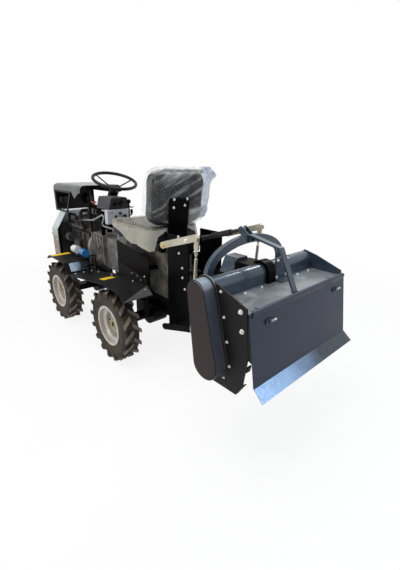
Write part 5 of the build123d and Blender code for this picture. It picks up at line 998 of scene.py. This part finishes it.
def padded(node, name, cap, held):
    """Foam pad in place of a drawn block; held gives 0 where the pad can't move."""
    drawn = DRAWN[node]
    form = into_scene(name, drawn.data.copy())
    form.data.transform(drawn.matrix_world)
    even = form.modifiers.new("skin", "REMESH")
    even.mode = "VOXEL"
    even.voxel_size = SKIN_STEP
    mesh = applied(form)
    rest = [vertex.co.copy() for vertex in mesh.vertices]
    foam = form.modifiers.new("foam", "CLOTH")
    foam.settings.use_pressure = True
    foam.settings.uniform_pressure_force = FOAM_PRESSURE
    foam.settings.effector_weights.gravity = 0.0
    foam.settings.tension_stiffness = 12.0
    foam.settings.quality = 4
    foam.collision_settings.use_collision = False
    for frame_number in range(1, FOAM_FRAMES + 1):
        bpy.context.scene.frame_set(frame_number)
    mesh = applied(form)
    bpy.context.scene.frame_set(1)
    for vertex, start in zip(mesh.vertices, rest):
        move = vertex.co - start
        if move.length > cap:
            move *= cap / move.length
        vertex.co = start + move * held(start)
    settled = form.modifiers.new("settled", "SMOOTH")
    settled.factor, settled.iterations = 0.5, 14
    form.modifiers.new("smooth", "SUBSURF").levels = 1
    mesh = applied(form)
    for face in mesh.polygons:
        face.use_smooth = True
    mesh.materials.clear()
    mesh.materials.append(finishes["vinyl"])
    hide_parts(node)
    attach(form, "chassis")
    print(name, "faces", len(mesh.polygons))
    return form


BRACKET_TOP, BRACKET_HALF = 1.312, 0.092
back_front = at(-0.30, 0, 0).x


def back_held(spot):
    """The bracket holds the middle of the back's rear face."""
    if spot.x > back_front:
        return 1.0
    outside = max(abs(spot.y) - BRACKET_HALF, spot.z - BRACKET_TOP)
    return eased(outside, 0.004, 0.06)


def seat_held(spot):
    """The pan holds the underside of the cushion."""
    return eased(spot.z, 1.004, 1.05)


seat_pad = padded("seat_cushion", "seat_pad", 0.014, seat_held)
back_pad = padded("seat_back", "back_pad", 0.012, back_held)

# %% [markdown]
# ## Protective film
# The tractor is new, and clear film still covers its seat. Thin film is nearly invisible where it lies
# flat on dark vinyl. It turns white along its creases, and where two layers of it stand off the edge. A
# sheet could be dropped with the Cloth solver, but the outline of this one is known from the photograph,
# so both sheets are laid out by sums: rays find the pad, the sheet stands off it by a few millimetres, and
# folds grow towards its free edge. Creases are real folds in the mesh, and the finish whitens their lines.

# %% Film finish
PAD_LEFT_Y, PAD_RIGHT_Y, PAD_TOP_Z, PAD_FOOT_Z = 0.240, -0.228, 1.468, 1.168
BRACKET_RIGHT_Y, HEM_RISE, CUSHION_TOP_Z = -0.02, 0.072, 1.086


def back_film():
    """Clear on the dark pad, white along creases, at the top edge and where it hangs free."""
    finish = Finish("back_film")
    lines = finish.cloud(2.6, 4.0, 0.55, where=finish.drawn_out((1.0, 1.0, 8.0), (0.42, 0.0, 0.0)))
    crumple = finish.cloud(11.0, 2.0, 0.5)
    spot = finish.place()
    across = finish.part(spot, 1)
    height = finish.part(spot, 2)
    bright = lines.above(0.53, 0.13) * 0.34
    edge = (across.above(PAD_LEFT_Y, 0.02) * 0.3).larger(height.above(PAD_TOP_Z, 0.024))
    fin = (PAD_RIGHT_Y - across).above(0.0, 0.02)
    past_bracket = (BRACKET_RIGHT_Y - across).above(0.0, 0.06)
    hem = (PAD_FOOT_Z + past_bracket * HEM_RISE - height).above(0.0, 0.03)
    cover = crumple.above(0.52, 0.2) * 0.07 + bright + edge * 0.46 + fin * 0.46 + hem * 0.36 + 0.05
    pale = finish.blend(crumple, (0.50, 0.52, 0.52), (0.74, 0.75, 0.73))
    # cool: the free fin past the pad's right edge is pale blue, a painted reflection
    cool = finish.blend(crumple, (0.40, 0.47, 0.62), (0.66, 0.70, 0.78))
    return finish.close(
        Base_Color=finish.blend(fin, pale, cool),
        Roughness=lines * 0.2 + 0.24,
        Specular_IOR_Level=0.3,
        Alpha=cover,
        Normal=finish.bump(lines, 0.35, 0.003),
    )


def seat_film():
    """Milky where it hangs, and thinner on top of the cushion."""
    finish = Finish("seat_film")
    lines = finish.cloud(4.0, 3.0, 0.5, where=finish.drawn_out((1.0, 3.0, 1.5), (0.0, 0.0, 0.6)))
    crumple = finish.cloud(20.0, 3.0, 0.5)
    on_top = finish.part(finish.place(), 2).above(CUSHION_TOP_Z, 0.012)
    thin = on_top * (0.95 - lines * 0.7)
    cover = 0.80 - thin * 0.84 + crumple.above(0.56, 0.2) * 0.08
    return finish.close(
        Base_Color=finish.blend(crumple + lines * 0.5 - 0.2, (0.35, 0.335, 0.275), (0.47, 0.46, 0.40)),
        Roughness=lines * 0.2 + 0.30,
        Specular_IOR_Level=0.25,
        Alpha=cover,
        Normal=finish.bump(lines + crumple, 0.6, 0.004),
    )


finishes["back_film"] = back_film()
finishes["seat_film"] = seat_film()
print("film finishes ready")

# %% Bag over the back
back_skin = rays_of(back_pad)
BACK_FOOT = at(-0.345, 0, 1.112)
LEAN = math.tan(math.radians(7.0))
BAG_TOP, BAG_LOW, HALF_PAD = 1.522, 1.14, 0.048
# outline of the bag: height and place across for its two sides, place across and height for its foot
BAG_LEFT = [(1.150, 0.249), (1.213, 0.256), (1.30, 0.254), (1.42, 0.250), (1.465, 0.238), (1.495, 0.212),
            (1.524, 0.165)]
BAG_RIGHT = [(1.100, -0.200), (1.130, -0.280), (1.165, -0.325), (1.30, -0.330), (1.406, -0.336), (1.449, -0.395),
             (1.480, -0.365), (1.524, -0.315)]
BAG_FOOT = [(-0.34, 1.172), (-0.28, 1.142), (-0.20, 1.120), (-0.12, 1.102), (0.0, 1.112), (0.13, 1.145),
            (0.262, 1.185)]
BAG_ROWS, BAG_STEPS = 58, 64
FILM_GAP = 0.006


def fold(spot, turn, width):
    """Ridged folds that run along a direction in the back's plane."""
    across = spot.y * math.cos(turn) + spot.z * math.sin(turn)
    along = spot.z * math.cos(turn) - spot.y * math.sin(turn)
    value = noise.noise(Vector((across / width, along / (width * 5.5), 3.7)))
    return (1 - abs(value) * 2.0) ** 2.0


def bag_point(share_across, share_up, outside):
    """A point of the rear sheet (outside -1) or of the front sheet (outside 1)."""
    top = BAG_TOP + 0.004 * math.sin(share_across * 9.0)
    guess = BAG_LOW + (top - BAG_LOW) * share_up
    left = between(guess, BAG_LEFT)
    y = left + (between(guess, BAG_RIGHT) - left) * share_across
    foot = between(y, BAG_FOOT)
    z = foot + (top - foot) * share_up
    centre = BACK_FOOT.x - LEAN * (z - BACK_FOOT.z) + 0.047
    beyond = Vector((centre + outside * 0.3, y, z))
    spot = back_skin.ray_cast(beyond, Vector((-outside, 0, 0)), 0.3)[0]
    if spot is not None:
        bulge = abs(spot.x - centre)
    else:
        bulge = max(0.0, HALF_PAD - back_skin.find_nearest(Vector((centre, y, z)))[3] * 0.9)
    bulge *= 1 - eased(share_up, 0.968, 1.0)
    clear_of_bracket = eased(max(abs(y) - BRACKET_HALF, z - BRACKET_TOP), 0.0, 0.03)
    place = Vector((0, y, z))
    lifted = fold(place, 0.75, 0.045) * 0.006 + fold(place, -0.4, 0.07) * 0.003
    loose = eased(abs(y), 0.20, 0.27) * 0.006 + (1 - eased(z, 1.15, 1.24)) * 0.006
    if outside < 0:
        gap = 0.0007 + (FILM_GAP + lifted * (0.5 + loose * 90)) * clear_of_bracket
    else:
        gap = FILM_GAP + lifted
    if spot is None:
        gap += noise.noise(place * 26.0) * 0.007
    return Vector((centre + outside * (bulge + gap), y + noise.noise(place * 17.0) * 0.003, z))


bag = bmesh.new()
rings = []
for row in range(BAG_ROWS + 1):
    up = row / BAG_ROWS
    ring = [bag.verts.new(bag_point(step / BAG_STEPS, up, -1)) for step in range(BAG_STEPS + 1)]
    ring += [bag.verts.new(bag_point(1 - step / BAG_STEPS, up, 1)) for step in range(BAG_STEPS + 1)]
    rings.append(ring)
for low, high in zip(rings, rings[1:]):
    bridged(bag, low, high, True)
last = rings[-1]
count = len(last)
for step in range(BAG_STEPS):
    bag.faces.new((last[step], last[step + 1], last[count - 2 - step], last[count - 1 - step])).smooth = True
bag_area = sum(face.calc_area() for face in bag.faces)
back_bag = shown("back_film_bag", bag, "back_film")
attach(back_bag, "chassis")

# %% [markdown]
# ## Film over the cushion
# This sheet lies over the cushion and hangs down at its sides. It is worked out in rings: the inner rings
# lie on top of the pad, and the outer ones run over its edge and hang, lower and fuller towards the rear.

# %% Sheet over the cushion
seat_skin = rays_of(seat_pad)
CUSHION = {"x0": -0.32, "x1": 0.255, "half": 0.23, "round": 0.085, "low": 1.02}
SHEET_EDGE_Z, UNDER_BACK_Z, LEAST_SWELL = 1.106, 1.1085, 0.004
HEM = [
    # share of the way round, from the front middle over the left side: height of the hem
    (0.00, 1.060), (0.075, 1.070), (0.12, 1.078), (0.192, 1.040), (0.258, 0.980), (0.355, 0.966), (0.385, 0.938),
    (0.400, 0.944), (0.412, 1.040), (0.440, 1.078), (0.560, 1.078), (0.590, 1.050), (0.620, 0.980), (0.645, 0.975),
    (0.750, 0.985), (0.855, 1.010), (0.925, 1.030), (1.00, 1.060),
]
TOP_RINGS, HANG_RINGS, AROUND = 18, 16, 220


def rim_point(share):
    """A point of the cushion's round-cornered outline, from the front middle over the left side."""
    x0, x1, half, corner = CUSHION["x0"], CUSHION["x1"], CUSHION["half"], CUSHION["round"]
    runs = [half - corner, math.pi * corner / 2, x1 - x0 - 2 * corner, math.pi * corner / 2, 2 * (half - corner),
            math.pi * corner / 2, x1 - x0 - 2 * corner, math.pi * corner / 2, half - corner]
    left = share * sum(runs)
    centres = [(x1 - corner, half - corner), (x0 + corner, half - corner), (x0 + corner, corner - half),
               (x1 - corner, corner - half)]
    for index, run in enumerate(runs):
        if left <= run or index == len(runs) - 1:
            break
        left -= run
    if index % 2:
        cx, cy = centres[index // 2]
        angle = (index // 2) * math.pi / 2 + left / corner
        out = (math.cos(angle), math.sin(angle))
        return (cx + out[0] * corner, cy + out[1] * corner), out
    side = index // 2
    starts = [(x1, 0.0), (x1 - corner, half), (x0, half - corner), (x0 + corner, -half), (x1, corner - half)]
    ways = [(0, 1), (-1, 0), (0, -1), (1, 0), (0, 1)]
    outs = [(1, 0), (0, 1), (-1, 0), (0, -1), (1, 0)]
    return (starts[side][0] + ways[side][0] * left, starts[side][1] + ways[side][1] * left), outs[side]


def pad_height(x, y):
    spot = seat_skin.ray_cast(at(x, y, 1.3), -UPWARD, 0.4)[0]
    return spot.z if spot is not None else CUSHION["low"]


sheet = bmesh.new()
middle_x = (CUSHION["x0"] + CUSHION["x1"]) / 2
rings = []
for ring_index in range(1, TOP_RINGS + HANG_RINGS + 1):
    ring = []
    for step in range(AROUND):
        share = step / AROUND
        (rim_x, rim_y), out = rim_point(share)
        if ring_index <= TOP_RINGS:
            in_share = ring_index / TOP_RINGS * 0.97
            x = middle_x + (rim_x - middle_x) * in_share
            y = rim_y * in_share
            wave = fold(Vector((0, y, x)), 0.5, 0.05) * 0.007 + fold(Vector((0, x, y)), 0.2, 0.03) * 0.003
            z = pad_height(x, y) + 0.0045 + max(wave, 0.0) + 0.004 * eased(in_share, 0.7, 0.9)
            under_back = 1 - eased(x, -0.27, -0.20)
            z = z * (1 - under_back) + min(z, UNDER_BACK_Z) * under_back
        else:
            down = (ring_index - TOP_RINGS - 0.6) / (HANG_RINGS - 0.6)
            hem = between(share, HEM) + 0.006 * noise.noise(Vector((share * 30, 0, 9.1)))
            z = SHEET_EDGE_Z + (hem - SHEET_EDGE_Z) * down
            drop = SHEET_EDGE_Z - z
            flare = 0.013 + drop * 0.08
            pleat = math.sin(share * 76.0 + 5.0 * noise.noise(Vector((share * 9, 2.0, 0)))) * 0.045 * drop
            crease = noise.noise(Vector((share * 42, z * 16, 5.0))) * 0.006
            swell = max(flare + pleat + crease + LEAST_SWELL, LEAST_SWELL)
            x = rim_x + out[0] * swell
            y = rim_y + out[1] * swell
        ring.append(sheet.verts.new(at(x, y, z)))
    rings.append(ring)
hub = sheet.verts.new(at(middle_x, 0, pad_height(middle_x, 0) + 0.004))
for step in range(AROUND):
    sheet.faces.new((hub, rings[0][step], rings[0][(step + 1) % AROUND])).smooth = True
for inner, outer in zip(rings, rings[1:]):
    for step in range(AROUND):
        after = (step + 1) % AROUND
        sheet.faces.new((inner[step], outer[step], outer[after], inner[after])).smooth = True
sheet_area = sum(face.calc_area() for face in sheet.faces)
seat_sheet = shown("seat_film_sheet", sheet, "seat_film")
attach(seat_sheet, "chassis")

# %% [markdown]
# ## Camera, floor and light
# The camera stands where the photographer stood, behind the tiller on its left. The floor is pale and
# keeps the shadow. A white background could come from a bright world, but that would wash the tractor
# out. Light Path tells a ray that comes from the camera, or that a shiny face throws back, from the rays
# that light the object, so only those rays see pure white. The floor does the same in part: near the
# tractor about an eighth of it is plain paint that takes the shadow, and further off it fades to white.

# %% Camera
FOCAL_PIXELS, PICTURE_HEIGHT, SENSOR = 327.94, 570, 36.0
EYE = Vector((-2.2884, 1.5316, 1.5238))
YAW, PITCH, ROLL = -0.7455, -0.3465, 0.0123
ahead = Vector((math.cos(PITCH) * math.cos(YAW), math.cos(PITCH) * math.sin(YAW), math.sin(PITCH)))
right = ahead.cross(Vector((0, 0, 1))).normalized()
above = right.cross(ahead)
level_right = right * math.cos(ROLL) + above * math.sin(ROLL)
level_up = above * math.cos(ROLL) - right * math.sin(ROLL)
camera_data = bpy.data.cameras.new("photographer")
camera_data.sensor_width = SENSOR
camera_data.lens = FOCAL_PIXELS / PICTURE_HEIGHT * SENSOR
camera = into_scene("photographer", camera_data)
turn = Matrix((level_right, level_up, -ahead)).transposed().to_4x4()
camera.matrix_world = Matrix.Translation(EYE) @ turn
bpy.context.scene.camera = camera
print("camera", tuple(EYE), "lens", camera_data.lens)

# %% Floor
def seen_directly(finish):
    """1 for rays from the camera and for those that gloss or glass throws on."""
    camera_ray, glossy_ray, passed_ray = [finish.add("ShaderNodeLightPath", output=index) for index in (0, 3, 6)]
    return camera_ray.larger(glossy_ray).larger(passed_ray)


GLOW_NEAR, FADE_FROM, FADE_OVER = 0.87, 1.6, 2.6


def floor_finish():
    finish = Finish("studio_floor")
    grain = finish.cloud(6.0, 3.0)
    spot = finish.place()
    x = finish.part(spot, 0)
    y = finish.part(spot, 1)
    far = ((x * x + y * y) ** 0.5).above(FADE_FROM, FADE_OVER)
    painted = finish.add("ShaderNodeBsdfPrincipled", inputs={
        "Base Color": finish.blend(grain, (0.86, 0.86, 0.86), (0.90, 0.90, 0.90)), "Roughness": 0.9})
    glowing = finish.add("ShaderNodeEmission", inputs={"Color": (1.0, 1.0, 1.0), "Strength": 1.0})
    share = seen_directly(finish) * (far * (1 - GLOW_NEAR) + GLOW_NEAR)
    surface = finish.add("ShaderNodeMixShader", inputs={0: share, 1: painted, 2: glowing})
    finish.add("ShaderNodeOutputMaterial", inputs={"Surface": surface})
    return finish.material


floor_mesh = bpy.data.meshes.new("floor")
floor_mesh.from_pydata([(-9, -9, 0), (9, -9, 0), (9, 9, 0), (-9, 9, 0)], [], [(0, 1, 2, 3)])
floor_mesh.materials.append(floor_finish())
floor = into_scene("floor", floor_mesh)
floor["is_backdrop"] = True
print("floor", len(floor_mesh.polygons))

# %% World
world = bpy.data.worlds.new("studio")
bpy.context.scene.world = world
sky = Finish("studio", world)
soft = sky.add("ShaderNodeBackground", inputs={"Color": (0.90, 0.94, 1.0), "Strength": 0.40})
white = sky.add("ShaderNodeBackground", inputs={"Color": (1.0, 1.0, 1.0), "Strength": 1.0})
both = sky.add("ShaderNodeMixShader", inputs={0: seen_directly(sky), 1: soft, 2: white})
sky.add("ShaderNodeOutputWorld", inputs={0: both})
print("world ready")

# %% Lamps
LAMPS = {
    # name: (place, aimed at, size, watts, colour)
    "overhead": ((-0.4, 0.8, 4.2), (0.0, 0.0, 0.5), 3.0, 130.0, (1.0, 0.98, 0.95)),
    "window": ((-3.0, -0.6, 2.1), (-1.3, 0.1, 0.6), 1.3, 17.0, (0.80, 0.90, 1.0)),
    "strip": ((-0.57, -2.1, 2.9), (-1.14, 0.0, 0.9), 0.5, 16.0, (0.90, 0.96, 1.0)),
    "fill": ((0.8, 4.2, 1.6), (0.2, 0.0, 0.6), 2.5, 42.0, (1.0, 0.97, 0.93)),
}
for name, (place, aim, size, watts, colour) in LAMPS.items():
    lamp = bpy.data.lights.new(name, "AREA")
    lamp.shape = "SQUARE"
    lamp.size = size
    lamp.energy = watts
    lamp.color = colour
    holder = into_scene(name, lamp)
    holder.location = place
    holder.rotation_euler = (Vector(aim) - Vector(place)).to_track_quat("-Z", "Y").to_euler()
bpy.context.scene.view_settings.view_transform = "Standard"
print("lamps", len(LAMPS))

# %% [markdown]
# ## The size of the dressed tractor
# The lesson ends by working out the box around the dressed tractor, leaving out the floor.

# %% Sizes and finish
low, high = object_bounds()
